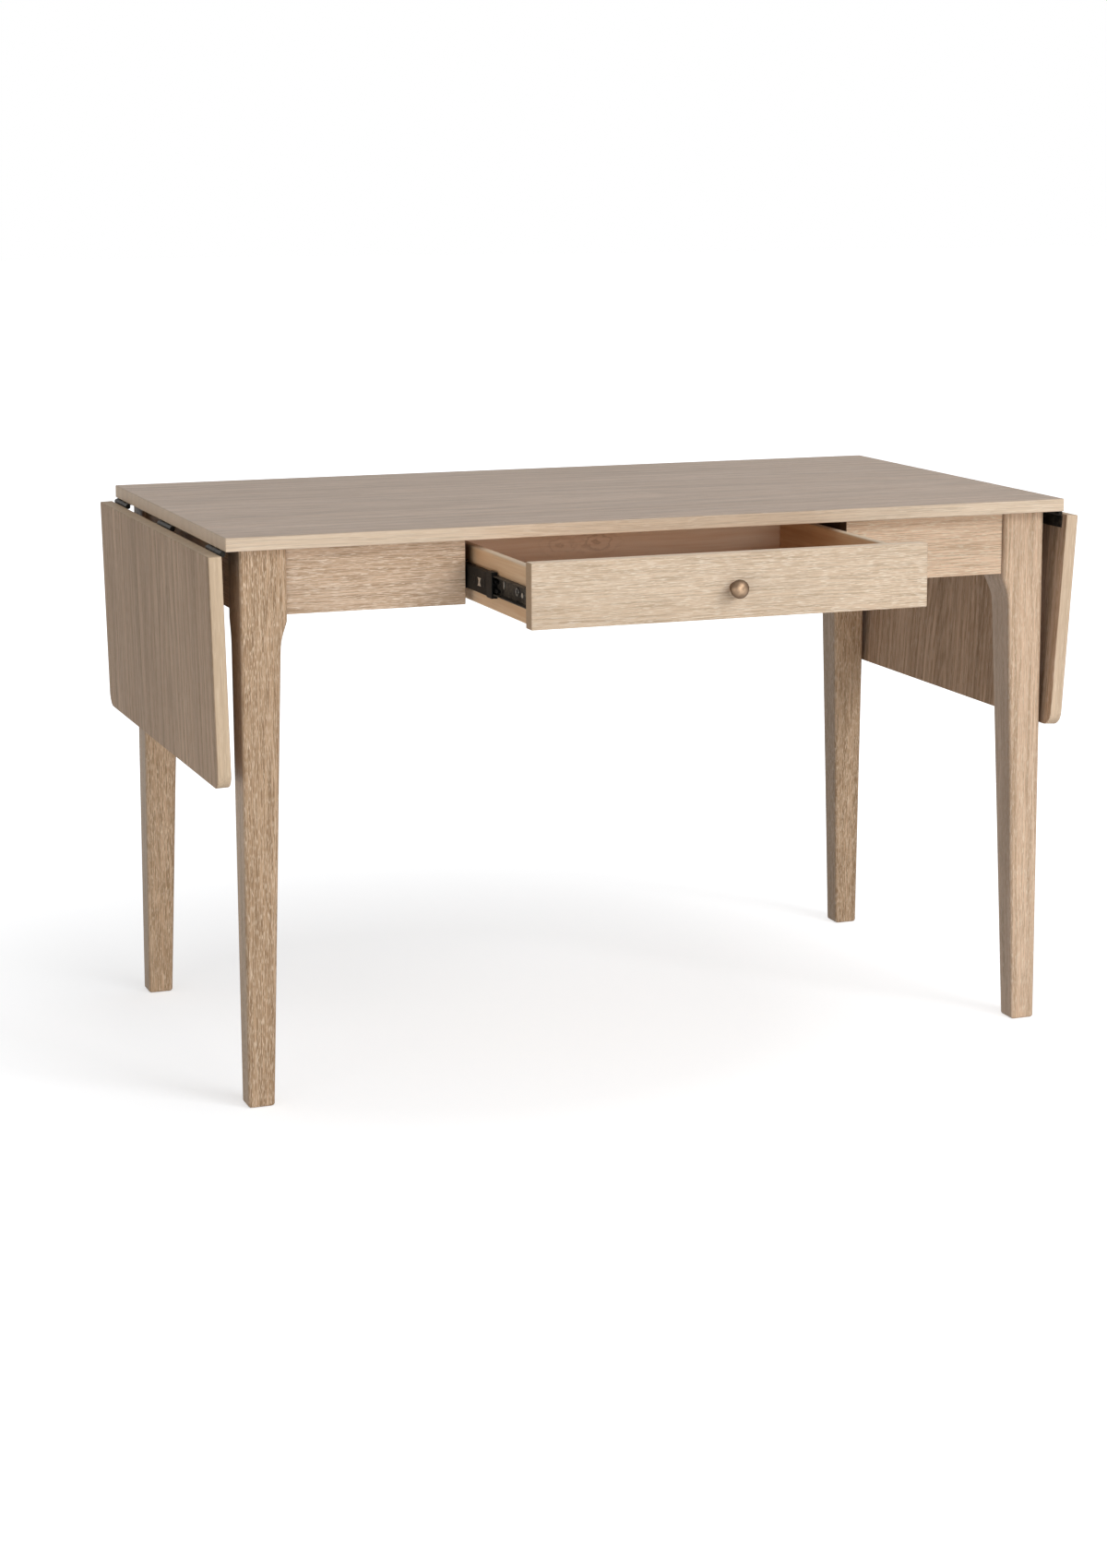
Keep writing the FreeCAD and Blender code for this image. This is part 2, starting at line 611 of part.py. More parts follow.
def make_drawer_front():
    size = ("Sizes.drawer_front_width", "Sizes.drawer_front_thickness", DRAWER_FRONT_HEIGHT)
    corner = ("-Sizes.drawer_front_width / 2", DRAWER_FACE, DRAWER_FRONT_BOTTOM)
    board = rounded_board("drawer_front_board", size, corner, "Sizes.board_edge_round")
    size = (f"-2 * ({BOX_INSIDE_LEFT} - Sizes.groove_depth - Sizes.groove_clearance)",
            "2 * (Sizes.groove_depth + Sizes.groove_clearance)",
            "Sizes.drawer_bottom_thickness + 2 * Sizes.groove_clearance")
    corner = (f"{BOX_INSIDE_LEFT} - Sizes.groove_depth - Sizes.groove_clearance",
              f"{BOX_FRONT} - Sizes.groove_depth - Sizes.groove_clearance",
              f"{FLOOR_BOTTOM} - Sizes.groove_clearance")
    groove = block("drawer_front_groove", size, corner)
    bore = hole("drawer_front_hole", "knob_screw", "Sizes.drawer_front_thickness",
                ("0", DRAWER_FACE, KNOB_HEIGHT), ALONG_Y)
    keep("drawer_front", cut("drawer_front_finished", board, [groove, bore]))


def make_drawer_box():
    size = ("Sizes.drawer_side_thickness", "Sizes.drawer_box_depth", "Sizes.drawer_side_height")
    board = rounded_board("drawer_side", size, (BOX_LEFT, BOX_FRONT, BOX_BOTTOM), "Sizes.drawer_side_round",
                          front_to_back_edge)
    size = ("2 * (Sizes.groove_depth + Sizes.groove_clearance)", "Sizes.drawer_box_depth",
            "Sizes.drawer_bottom_thickness + 2 * Sizes.groove_clearance")
    corner = (f"{BOX_INSIDE_LEFT} - Sizes.groove_depth - Sizes.groove_clearance", BOX_FRONT,
              f"{FLOOR_BOTTOM} - Sizes.groove_clearance")
    tools = [block("drawer_side_groove", size, corner)]
    depth = "Sizes.slide_screw_length - Sizes.slide_sheet + Sizes.hole_clearance"
    for along in slide_screw_places(BOX_FRONT):
        start = (BOX_LEFT, along, SLIDE_HEIGHT)
        tools.append(hole("drawer_side_hole", "slide_screw", depth, start, ALONG_X))
    side_board = cut("drawer_side_finished", board, tools)
    for side, item in zip(("left", "right"), both_sides("drawer_side", side_board)):
        keep(f"drawer_side_{side}", item)
    back_height = f"{BOX_TOP} - Sizes.drawer_back_drop - {FLOOR_TOP}"
    back_front = f"{BOX_FRONT} + Sizes.drawer_box_depth - Sizes.drawer_side_thickness"
    corner = (BOX_INSIDE_LEFT, back_front, FLOOR_TOP)
    size = (f"-2 * {BOX_INSIDE_LEFT}", "Sizes.drawer_side_thickness", back_height)
    keep("drawer_back", rounded_board("drawer_back_board", size, corner, "Sizes.rail_edge_round"))
    size = (f"-2 * ({BOX_INSIDE_LEFT} - Sizes.groove_depth)", "Sizes.drawer_box_depth + Sizes.groove_depth",
            "Sizes.drawer_bottom_thickness")
    corner = (f"{BOX_INSIDE_LEFT} - Sizes.groove_depth", f"{BOX_FRONT} - Sizes.groove_depth", FLOOR_BOTTOM)
    keep("drawer_bottom", block("drawer_bottom_board", size, corner))


def make_knob():
    start = ("0", "0", "0")
    foot = rod("knob_foot", "Sizes.knob_foot_radius", "Sizes.knob_foot_height", start)
    stem = rod("knob_stem", "Sizes.knob_stem_radius", "Sizes.knob_rim_height", start)
    flare = cone("knob_flare", ("Sizes.knob_stem_radius", "Sizes.knob_radius"),
                 "Sizes.knob_rim_height - Sizes.knob_neck_height", ("0", "0", "Sizes.knob_neck_height"))
    disc = rod("knob_disc", "Sizes.knob_radius", "Sizes.knob_reach - Sizes.knob_rim_height",
               ("0", "0", "Sizes.knob_rim_height"))
    dome = ball("knob_dome", "Sizes.knob_dome_radius",
                ("0", "0", "Sizes.knob_reach - Sizes.knob_dome_radius"))
    cap = document.addObject("Part::Common", "knob_cap")
    cap.Base = disc
    cap.Tool = dome
    solid = fuse("knob_solid", [foot, stem, flare, cap])
    bore = hole("knob_bore", "knob_screw", "Sizes.knob_screw_bite + Sizes.hole_clearance", start)
    shaped = cut("knob_bored", solid, [bore])
    face = ("0", DRAWER_FACE, KNOB_HEIGHT)
    keep("drawer_knob", placed_copy("knob_placed", shaped, face, ALONG_MINUS_Y))
    screw = headed_screw("knob_screw", "Sizes.drawer_front_thickness + Sizes.knob_screw_bite")
    inside = ("0", BOX_FRONT, KNOB_HEIGHT)
    keep("knob_screw", placed_copy("knob_screw_placed", screw, inside, ALONG_MINUS_Y))


# Drawer slides. Across: from the drawer rail, at 0, to the drawer side, at slide_space.

def channel(name, across, width, front, length, height, opens_right):
    """A folded channel of the slide's sheet, centred on the slide's height."""
    corner = (f"{OPENING_LEFT} + {across}", front, f"{SLIDE_HEIGHT} - {height} / 2")
    solid = block(f"{name}_solid", (width, length, height), corner)
    shift = "Sizes.slide_sheet" if opens_right else "-Sizes.slide_sheet"
    corner = (f"{corner[0]} + {shift}", front, f"{SLIDE_HEIGHT} - {height} / 2 + Sizes.slide_sheet")
    hollow = block(f"{name}_hollow", (width, length, f"{height} - 2 * Sizes.slide_sheet"), corner)
    return cut(f"{name}_channel", solid, [hollow])


def drilled_channel(name, item, across, front):
    start = f"{OPENING_LEFT} + {across}"
    holes = [hole(f"{name}_hole", "slide_screw", "Sizes.slide_sheet", (start, along, SLIDE_HEIGHT), ALONG_X)
             for along in slide_screw_places(front)]
    return cut(f"{name}_drilled", item, holes)


def make_slides():
    outer = channel("slide_outer", "0", "Sizes.slide_outer_width", SLIDE_FRONT, SLIDE_LENGTH,
                    "Sizes.slide_outer_height", True)
    outer = drilled_channel("slide_outer", outer, "0", SLIDE_FRONT)
    bumper_front = f"({SLIDE_FRONT} + Sizes.bumper_setback - Sizes.drawer_open / 2)"
    middle_front = f"({bumper_front} + Sizes.bumper_length)"
    middle = channel("slide_middle", MIDDLE_START, MIDDLE_WIDTH, middle_front,
                     f"{SLIDE_LENGTH} - Sizes.bumper_setback - Sizes.bumper_length",
                     f"(2 * {MIDDLE_OUTSIDE})", True)
    inner = channel("slide_inner", INNER_START, f"Sizes.slide_space - {INNER_START}", BOX_FRONT,
                    SLIDE_LENGTH, f"(2 * {INNER_OUTSIDE})", False)
    inner = drilled_channel("slide_inner", inner, "Sizes.slide_space - Sizes.slide_sheet", BOX_FRONT)
    bumper = slide_bumper(bumper_front)
    for name, item in (("outer", outer), ("middle", middle), ("inner", inner), ("bumper", bumper)):
        for side, copy in zip(("left", "right"), both_sides(f"slide_{name}", item)):
            keep(f"{side}_slide_{name}", copy)


def slide_bumper(front):
    """A plastic stop on the front end of the middle member, shaped round the inner member."""
    start = f"{OPENING_LEFT} + {MIDDLE_START}"
    height = f"(2 * ({OUTER_INSIDE} - Sizes.bumper_clearance))"
    opening = f"(2 * ({INNER_OUTSIDE} + Sizes.bumper_clearance))"
    solid = block("bumper_solid", (MIDDLE_WIDTH, "Sizes.bumper_length", height),
                  (start, front, f"{SLIDE_HEIGHT} - {height} / 2"))
    hollow = block("bumper_hollow", (MIDDLE_WIDTH, "Sizes.bumper_length", opening),
                   (f"{start} + Sizes.bumper_web", front, f"{SLIDE_HEIGHT} - {opening} / 2"))
    return cut("bumper", solid, [hollow])


def ball_cage(name, level, front):
    """One strip of balls above and one below the member that they carry; level is their height."""
    radius = "(Sizes.ball_space / 2 - Sizes.ball_clearance)"
    start = f"{OPENING_LEFT} + {CAGE_START}"
    members = []
    for row, sign in (("upper", 1), ("lower", -1)):
        height = f"{SLIDE_HEIGHT} + {sign} * {level}"
        strip = block(f"{name}_{row}_strip", (CAGE_WIDTH, "Sizes.cage_length", "Sizes.cage_sheet"),
                      (start, front, f"{height} - Sizes.cage_sheet / 2"))
        holes = []
        for step in centred_steps(BALLS_PER_ROW):
            centre = (f"{start} + {CAGE_WIDTH} / 2",
                      f"{front} + Sizes.cage_length / 2 + {step} * Sizes.ball_pitch", height)
            members.append(ball(f"{name}_{row}_ball", radius, centre))
            holes.append(rod(f"{name}_{row}_seat", f"{radius} + Sizes.ball_clearance", "Sizes.cage_sheet",
                             (centre[0], centre[1], f"{height} - Sizes.cage_sheet / 2")))
        members.append(cut(f"{name}_{row}_cage", strip, holes))
    return group(name, members)


def make_ball_cages():
    closed_front = f"({SLIDE_FRONT} + Sizes.cage_setback)"
    ranks = (("outer", MIDDLE_OUTSIDE, f"{closed_front} - Sizes.drawer_open / 4"),
             ("inner", INNER_OUTSIDE, f"{closed_front} - 3 * Sizes.drawer_open / 4"))
    for rank, carried, front in ranks:
        left = ball_cage(f"{rank}_cage", f"({carried} + Sizes.ball_space / 2)", front)
        keep(f"{rank}_ball_cages", group(f"{rank}_cages", both_sides(f"{rank}_cage", left)))


def make_slide_screws():
    screw = headed_screw("slide_screw", "Sizes.slide_screw_length")
    seats = (("rail", f"{OPENING_LEFT} + Sizes.slide_sheet", SLIDE_FRONT, ALONG_MINUS_X),
             ("drawer", f"{BOX_LEFT} - Sizes.slide_sheet", BOX_FRONT, ALONG_X))
    for name, across, front, turn in seats:
        left = [placed_copy(f"slide_{name}_screw", screw, (across, along, SLIDE_HEIGHT), turn)
                for along in slide_screw_places(front)]
        rows = both_sides(f"slide_{name}_screw", group(f"slide_{name}_screw_row", left))
        keep(f"slide_{name}_screws", group(f"all_slide_{name}_screws", rows))


# Leaves and hinges, made round the hinge axis with the leaf level, and then turned down

def hang(item, side, lean):
    """Set a piece on a side's hinge axis, turned down from level by a right angle and the lean."""
    axis = Y_AXIS if side > 0 else -Y_AXIS
    place(item, (f"{side} * {PIVOT_X}", MIDDLE, PIVOT_Z), FreeCAD.Rotation(axis, RIGHT_ANGLE))
    item.setExpression("Placement.Rotation.Angle", f"{RIGHT_ANGLE} + {lean}")
    return item


def outward(side, start, width):
    """Where a piece that reaches from start to start + width on a side has its lowest x."""
    return start if side > 0 else f"-({start} + {width})"


def leaf_corner_edge(side):
    def wanted(edge):
        at_low_end = edge.BoundBox.Center.x < edge.Length
        return upright_edge(edge) and at_low_end == (side < 0)
    return wanted


def make_leaf(name, side, lean):
    size = ("Sizes.leaf_length", "Sizes.top_depth", "Sizes.top_thickness")
    body, board = plain_board(f"{name}_blank", size)
    corners = round_edges(body, board, f"{name}_corner_rounding", "Sizes.leaf_corner_round",
                          leaf_corner_edge(side))
    round_edges(body, corners, f"{name}_edge_rounding", "Sizes.board_edge_round", any_edge)
    near = outward(side, "Sizes.leaf_gap / 2", "Sizes.leaf_length")
    place(body, (near, "-Sizes.top_depth / 2", HINGE_DROP))
    depth = "Sizes.hinge_screw_length - Sizes.hinge_sheet + Sizes.hole_clearance"
    holes = [hole(f"{name}_hole", "hinge_screw", depth, (*spot, HINGE_DROP))
             for spot in plate_screw_places(side, True)]
    keep(name, hang(cut(f"{name}_drilled", body, holes), side, lean))


def hinge_plate(name, side, first_knuckle):
    """A plate that reaches to a side of the axis, with every other knuckle of the hinge."""
    pitch = f"(Sizes.hinge_length / {KNUCKLES_PER_HINGE})"
    bottom = f"({HINGE_DROP} - Sizes.hinge_sheet)"
    reach = f"({HINGE_WIDTH} - {HINGE_NOTCH})"
    solids = [block(f"{name}_plate", (reach, "Sizes.hinge_length", "Sizes.hinge_sheet"),
                    (outward(side, HINGE_NOTCH, reach), "-Sizes.hinge_length / 2", bottom))]
    for number in range(first_knuckle, KNUCKLES_PER_HINGE, 2):
        start = f"{number} * {pitch} - Sizes.hinge_length / 2 + Sizes.knuckle_play / 2"
        length = f"{pitch} - Sizes.knuckle_play"
        solids.append(rod(f"{name}_knuckle", "Sizes.knuckle_radius", length, ("0", start, "0"), ALONG_Y))
        tab = f"2 * {HINGE_NOTCH}"
        solids.append(block(f"{name}_tab", (tab, length, "Sizes.hinge_sheet"),
                            (outward(side, "0", tab), start, bottom)))
    tools = [rod(f"{name}_bore", "Sizes.pin_radius + Sizes.pin_clearance", "Sizes.hinge_length",
                 ("0", "-Sizes.hinge_length / 2", "0"), ALONG_Y)]
    for spot in plate_screw_places(side, False):
        start = (*spot, bottom)
        sink = cone(f"{name}_sink", ("Sizes.hinge_screw_head + Sizes.hole_clearance",
                                     "Sizes.hinge_screw_radius + Sizes.hole_clearance"),
                    "Sizes.hinge_screw_head_height", start)
        bore = hole(f"{name}_hole", "hinge_screw", "Sizes.hinge_sheet", start)
        tools.append(fuse(f"{name}_screw_room", [sink, bore]))
    return cut(f"{name}_finished", fuse(f"{name}_solid", solids), tools)


def make_hinges(name, side, lean):
    top_plate = hinge_plate(f"{name}_top_plate", -side, 0)
    leaf_plate = hinge_plate(f"{name}_leaf_plate", side, 1)
    for position, step in hinge_steps():
        along = f"{step} * {HINGE_SPREAD}"
        spot = (f"{side} * {PIVOT_X}", f"{MIDDLE} + {along}", PIVOT_Z)
        keep(f"{name}_{position}_hinge_top_plate", placed_copy(f"{name}_{position}_top", top_plate, spot))
        shifted = placed_copy(f"{name}_{position}_leaf_level", leaf_plate, ("0", along, "0"))
        plate = group(f"{name}_{position}_leaf", [shifted])
        keep(f"{name}_{position}_hinge_leaf_plate", hang(plate, side, lean))


def make_hinge_pins():
    ends = "-Sizes.hinge_length / 2"
    shank = rod("pin_shank", "Sizes.pin_radius", "Sizes.hinge_length", ("0", ends, "0"), ALONG_Y)
    heads = [rod("pin_front_head", "Sizes.pin_head_radius", "Sizes.pin_head_height",
                 ("0", f"{ends} - Sizes.pin_head_height", "0"), ALONG_Y),
             rod("pin_back_head", "Sizes.pin_head_radius", "Sizes.pin_head_height",
                 ("0", "Sizes.hinge_length / 2", "0"), ALONG_Y)]
    pin = fuse("hinge_pin", [shank, *heads])
    pins = [placed_copy("hinge_pin_placed", pin,
                        (f"{side} * {PIVOT_X}", f"{MIDDLE} + {step} * {HINGE_SPREAD}", PIVOT_Z))
            for side in (-1, 1) for _, step in hinge_steps()]
    keep("hinge_pins", group("all_hinge_pins", pins))


def make_hinge_screws(leaves):
    screw = countersunk_screw()
    seat = f"({HINGE_DROP} - Sizes.hinge_sheet)"
    on_top = []
    for name, side, lean in leaves:
        for across, along in plate_screw_places(-side, True):
            spot = (f"{side} * {PIVOT_X} + {across}", f"{MIDDLE} + {along}", f"{PIVOT_Z} + {seat}")
            on_top.append(placed_copy(f"{name}_top_hinge_screw", screw, spot))
        on_leaf = [placed_copy(f"{name}_hinge_screw", screw, (*spot, seat))
                   for spot in plate_screw_places(side, True)]
        keep(f"{name}_hinge_screws", hang(group(f"{name}_screws", on_leaf), side, lean))
    keep("top_hinge_screws", group("all_top_hinge_screws", on_top))


def check_and_write():
    document.recompute()
    for item in document.Objects:
        if "Invalid" in item.State or "Error" in item.State:
            raise RuntimeError(f"{item.Label} failed to compute")
    for item in pieces:
        if item.Shape.isNull() or not item.Shape.isValid() or item.Shape.Volume <= 0:
            raise RuntimeError(f"{item.Label} has no valid shape")
    os.makedirs("parts", exist_ok=True)
    for item in pieces:
        item.Shape.exportStep(f"parts/{item.Label}.step")
    print(f"{len(pieces)} nodes written")


LEAVES = (("left_leaf", -1, "Sizes.left_leaf_lean"), ("right_leaf", 1, "Sizes.right_leaf_lean"))

make_sheet()
make_top()
make_legs()
make_front_and_back_rails()
make_end_rails()
make_drawer_rails()
make_braces()
make_frame_fasteners()
make_supports()
make_drawer_front()
make_drawer_box()
make_knob()
make_slides()
make_ball_cages()
make_slide_screws()
for leaf_name, leaf_side, leaf_lean in LEAVES:
    make_leaf(leaf_name, leaf_side, leaf_lean)
    make_hinges(leaf_name, leaf_side, leaf_lean)
make_hinge_pins()
make_hinge_screws(LEAVES)
check_and_write()
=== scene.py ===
"""Looks, light and camera for the extendable desk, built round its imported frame. Metres."""
import math

import bmesh
import bpy
from mathutils import Matrix, Vector


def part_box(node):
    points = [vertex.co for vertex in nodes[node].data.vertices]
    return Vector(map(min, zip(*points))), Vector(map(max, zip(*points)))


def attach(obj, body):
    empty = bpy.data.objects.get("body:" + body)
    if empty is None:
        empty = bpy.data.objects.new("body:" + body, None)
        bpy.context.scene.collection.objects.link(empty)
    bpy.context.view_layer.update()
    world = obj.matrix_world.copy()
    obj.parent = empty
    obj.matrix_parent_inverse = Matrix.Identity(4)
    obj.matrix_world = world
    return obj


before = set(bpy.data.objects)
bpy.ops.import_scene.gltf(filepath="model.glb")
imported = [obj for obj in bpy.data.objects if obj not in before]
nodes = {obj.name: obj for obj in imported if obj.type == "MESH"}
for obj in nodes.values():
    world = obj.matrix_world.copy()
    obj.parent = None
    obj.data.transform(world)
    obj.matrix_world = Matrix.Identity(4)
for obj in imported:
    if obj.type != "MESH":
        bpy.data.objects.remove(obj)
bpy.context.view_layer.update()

# Camera, fitted to the corners of the desk in a 1200 x 1700 picture
PICTURE_WIDTH = 1200
PICTURE_HEIGHT = 1700
FOCAL_PIXELS = 3259.8
AXIS_PIXEL = (655.6, 636.9)
CAMERA_PLACE = Vector((-1.5120, -3.8617, 1.2322))
CAMERA_TURN = math.radians(21.245)
CAMERA_TILT = math.radians(8.28)
SENSOR_MM = 36

# Colours, linear
OAK_PALE = (0.735, 0.585, 0.440)
OAK_MID = (0.640, 0.480, 0.335)
OAK_DEEP = (0.300, 0.205, 0.122)
OAK_LIME = (0.900, 0.800, 0.670)
BIRCH_PALE = (0.950, 0.680, 0.440)
BIRCH_DEEP = (0.780, 0.490, 0.275)
KNOT_BROWN = (0.330, 0.170, 0.080)
BLACK_PAINT = (0.010, 0.009, 0.008)
BLACK_WORN = (0.060, 0.050, 0.038)
SLIDE_BLACK = (0.034, 0.029, 0.024)
# Wear and painted reflection: pale brownish specks on the inner slide members.
SLIDE_WEAR_AND_REFLECTION = (0.115, 0.096, 0.073)
BLACK_PLASTIC = (0.006, 0.006, 0.006)
ZINC = (0.560, 0.555, 0.535)
ZINC_DULL = (0.330, 0.325, 0.310)
ZINC_BRIGHT = (0.880, 0.870, 0.850)
BRONZE = (0.430, 0.295, 0.190)
# Patina, and painted shade at the knob's rim.
BRONZE_PATINA_AND_SHADE = (0.130, 0.080, 0.047)
FLOOR_GREY = (0.80, 0.80, 0.80)
FLOOR_SEEN = (0.885, 0.905, 0.930)
WHITE = (1.0, 1.0, 1.0)

NOWHERE = (0.0, 0.0, 0.0)
FULL_TURN = 2.0 * math.pi

# Sockets of a Mix node that carry colours
MIX_FIRST = 6
MIX_SECOND = 7
MIX_RESULT = 2


# Node helpers

def add(tree, kind, inputs=None, **settings):
    """A new node with its settings, and its inputs set to numbers or linked to sockets."""
    made = tree.nodes.new(kind)
    for name, value in settings.items():
        setattr(made, name, value)
    for name, value in (inputs or {}).items():
        if isinstance(value, bpy.types.NodeSocket):
            tree.links.new(value, made.inputs[name])
        else:
            made.inputs[name].default_value = value
    return made


def maths(tree, operation, first, second=0.0):
    return add(tree, "ShaderNodeMath", {0: first, 1: second}, operation=operation).outputs[0]


def vector_maths(tree, operation, first, second):
    return add(tree, "ShaderNodeVectorMath", {0: first, 1: second}, operation=operation).outputs[0]


def length_of(tree, vector):
    return add(tree, "ShaderNodeVectorMath", {0: vector}, operation="LENGTH").outputs["Value"]


def object_place(tree):
    return add(tree, "ShaderNodeTexCoord").outputs["Object"]


def noise(tree, vector, stretch, detail=3.0, roughness=0.55):
    """Noise whose grains are 1 / stretch metres long along each axis."""
    scaled = vector_maths(tree, "MULTIPLY", vector, stretch)
    inputs = {"Vector": scaled, "Scale": 1.0, "Detail": detail, "Roughness": roughness}
    return add(tree, "ShaderNodeTexNoise", inputs).outputs["Fac"]


def span(tree, value, low, high, to_low=0.0, to_high=1.0):
    """value mapped from low..high to to_low..to_high, held at the ends."""
    inputs = {"Value": value, "From Min": low, "From Max": high, "To Min": to_low, "To Max": to_high}
    return add(tree, "ShaderNodeMapRange", inputs).outputs["Result"]


def blend(tree, factor, first, second, blend_type="MIX"):
    made = add(tree, "ShaderNodeMix", {"Factor": factor}, data_type="RGBA", blend_type=blend_type)
    for socket, colour in ((made.inputs[MIX_FIRST], first), (made.inputs[MIX_SECOND], second)):
        if isinstance(colour, bpy.types.NodeSocket):
            tree.links.new(colour, socket)
        else:
            socket.default_value = (*colour, 1.0)
    return made.outputs[MIX_RESULT]


def new_material(name):
    material = bpy.data.materials.new(name)
    material.use_nodes = True
    tree = material.node_tree
    return material, tree, tree.nodes["Principled BSDF"]


def link(tree, output, shader, name):
    tree.links.new(output, shader.inputs[name])


def bump(tree, shader, height, strength, depth):
    made = add(tree, "ShaderNodeBump", {"Height": height, "Strength": strength, "Distance": depth})
    link(tree, made.outputs["Normal"], shader, "Normal")


# Wood of both kinds. A grain is given in grains a metre along, across and into the board, levels are the
# values between which an effect grows from none to full, and a bump is its strength and its depth.

BOARD_STEPS = (1.37, 0.83, 0.59)
NOISE_MIDDLE = 0.5
SLOW_WAVE_GRAIN = (2.2, 7.0, 7.0)
SLOW_WAVE_SHARE = 2.0
QUICK_WAVE_GRAIN = (14.0, 40.0, 40.0)
QUICK_WAVE_SHARE = 0.25
FACING_LEVELS = (0.15, 0.97)
WOOD_SHEEN = 0.2


def board_shift(seed):
    """Where in the endless wood a board is cut from."""
    return tuple(seed * step for step in BOARD_STEPS)


def board_coordinates(tree, axes, seed, pivot=NOWHERE, lean=0.0):
    """Along, across and into a board, which moves with it; axes names them, as in "xyz"."""
    place = vector_maths(tree, "SUBTRACT", object_place(tree), pivot)
    if lean:
        place = add(tree, "ShaderNodeMapping", {"Vector": place, "Rotation": (0.0, lean, 0.0)}).outputs[0]
    parts = add(tree, "ShaderNodeSeparateXYZ", {0: place}).outputs
    picked = [parts["xyz".index(axis)] for axis in axes]
    board = add(tree, "ShaderNodeCombineXYZ", dict(enumerate(picked))).outputs[0]
    return vector_maths(tree, "ADD", board, board_shift(seed))


def wavy(tree, board, reach):
    """The board's coordinates with the grain lines bent sideways by up to about reach."""
    slow = noise(tree, board, SLOW_WAVE_GRAIN, detail=2.0)
    quick = noise(tree, board, QUICK_WAVE_GRAIN, detail=2.0)
    side = maths(tree, "MULTIPLY", maths(tree, "SUBTRACT", slow, NOISE_MIDDLE), SLOW_WAVE_SHARE * reach)
    ripple = maths(tree, "MULTIPLY", maths(tree, "SUBTRACT", quick, NOISE_MIDDLE), QUICK_WAVE_SHARE * reach)
    total = maths(tree, "ADD", side, ripple)
    move = add(tree, "ShaderNodeCombineXYZ", {1: total, 2: total}).outputs[0]
    return vector_maths(tree, "ADD", board, move)


def tinted(colour, tint):
    return tuple(min(1.0, part * share) for part, share in zip(colour, tint))


def facing_share(tree, axis):
    """1 where a surface faces along the axis, either way, and 0 where it faces across it."""
    normal = add(tree, "ShaderNodeTexCoord").outputs["Normal"]
    facing = add(tree, "ShaderNodeSeparateXYZ", {0: normal}).outputs[axis]
    return span(tree, maths(tree, "ABSOLUTE", facing), *FACING_LEVELS)


def tint_faces(tree, colour, axis, tint):
    return blend(tree, facing_share(tree, axis), colour, tint, "MULTIPLY")


# Oak

OAK_WAVE = 0.006
FIGURE_GRAIN = (1.1, 34.0, 34.0)
FIGURE_LEVELS = (0.3, 0.7)
EVEN_MIX = 0.5
STRIPE_GRAIN = (1.6, 100.0, 100.0)
STRIPE_LEVELS = (0.42, 0.68)
STREAKS_ACROSS = 820.0
STREAK_LEVELS = (0.46, 0.60)
PORES_PER_STREAK = 6
PORES_ACROSS = 1250.0
PORE_LEVELS = (0.54, 0.63)
PATCH_GRAIN = (2.5, 9.0, 9.0)
PATCH_LEVELS = (0.3, 0.7)
PATCH_SHADES = (0.93, 1.05)
WORN_LEVELS = (0.35, 0.65)
WORN_LIME = 0.65
OAK_GLOSS_LEVELS = (0.35, 0.7)
OAK_ROUGHNESS = (0.46, 0.62)
OAK_BUMP = (0.35, 0.0004)
RING_WANDER_GRAIN = (7.0, 26.0, 26.0)
RING_WANDER = 1.3
RING_FADE_GRAIN = (3.0, 16.0, 16.0)
RING_FADE_LEVELS = (0.35, 0.65)
RING_FAINTEST = 0.25
RING_LEVELS = (-0.4, 1.0)


def rings(tree, bent, seed, heart, slope, spacing):
    """Growth rings round a heart line that runs through the board at a slant: arches on its face."""
    board = vector_maths(tree, "SUBTRACT", bent, board_shift(seed))
    parts = add(tree, "ShaderNodeSeparateXYZ", {0: board}).outputs
    across = maths(tree, "SUBTRACT", parts[1], heart[1])
    slant = maths(tree, "MULTIPLY", maths(tree, "SUBTRACT", parts[0], heart[0]), slope)
    depth = maths(tree, "ADD", maths(tree, "SUBTRACT", parts[2], heart[2]), slant)
    squares = maths(tree, "ADD", maths(tree, "POWER", across, 2.0), maths(tree, "POWER", depth, 2.0))
    uneven = noise(tree, bent, RING_WANDER_GRAIN, detail=4.0, roughness=0.6)
    wander = span(tree, uneven, 0.0, 1.0, 0.0, RING_WANDER * spacing)
    radius = maths(tree, "ADD", maths(tree, "SQRT", squares), wander)
    wave = maths(tree, "SINE", maths(tree, "MULTIPLY", radius, FULL_TURN / spacing))
    fading = noise(tree, bent, RING_FADE_GRAIN, detail=2.0)
    clear = span(tree, fading, *RING_FADE_LEVELS, RING_FAINTEST, 1.0)
    return maths(tree, "MULTIPLY", span(tree, wave, *RING_LEVELS), clear)


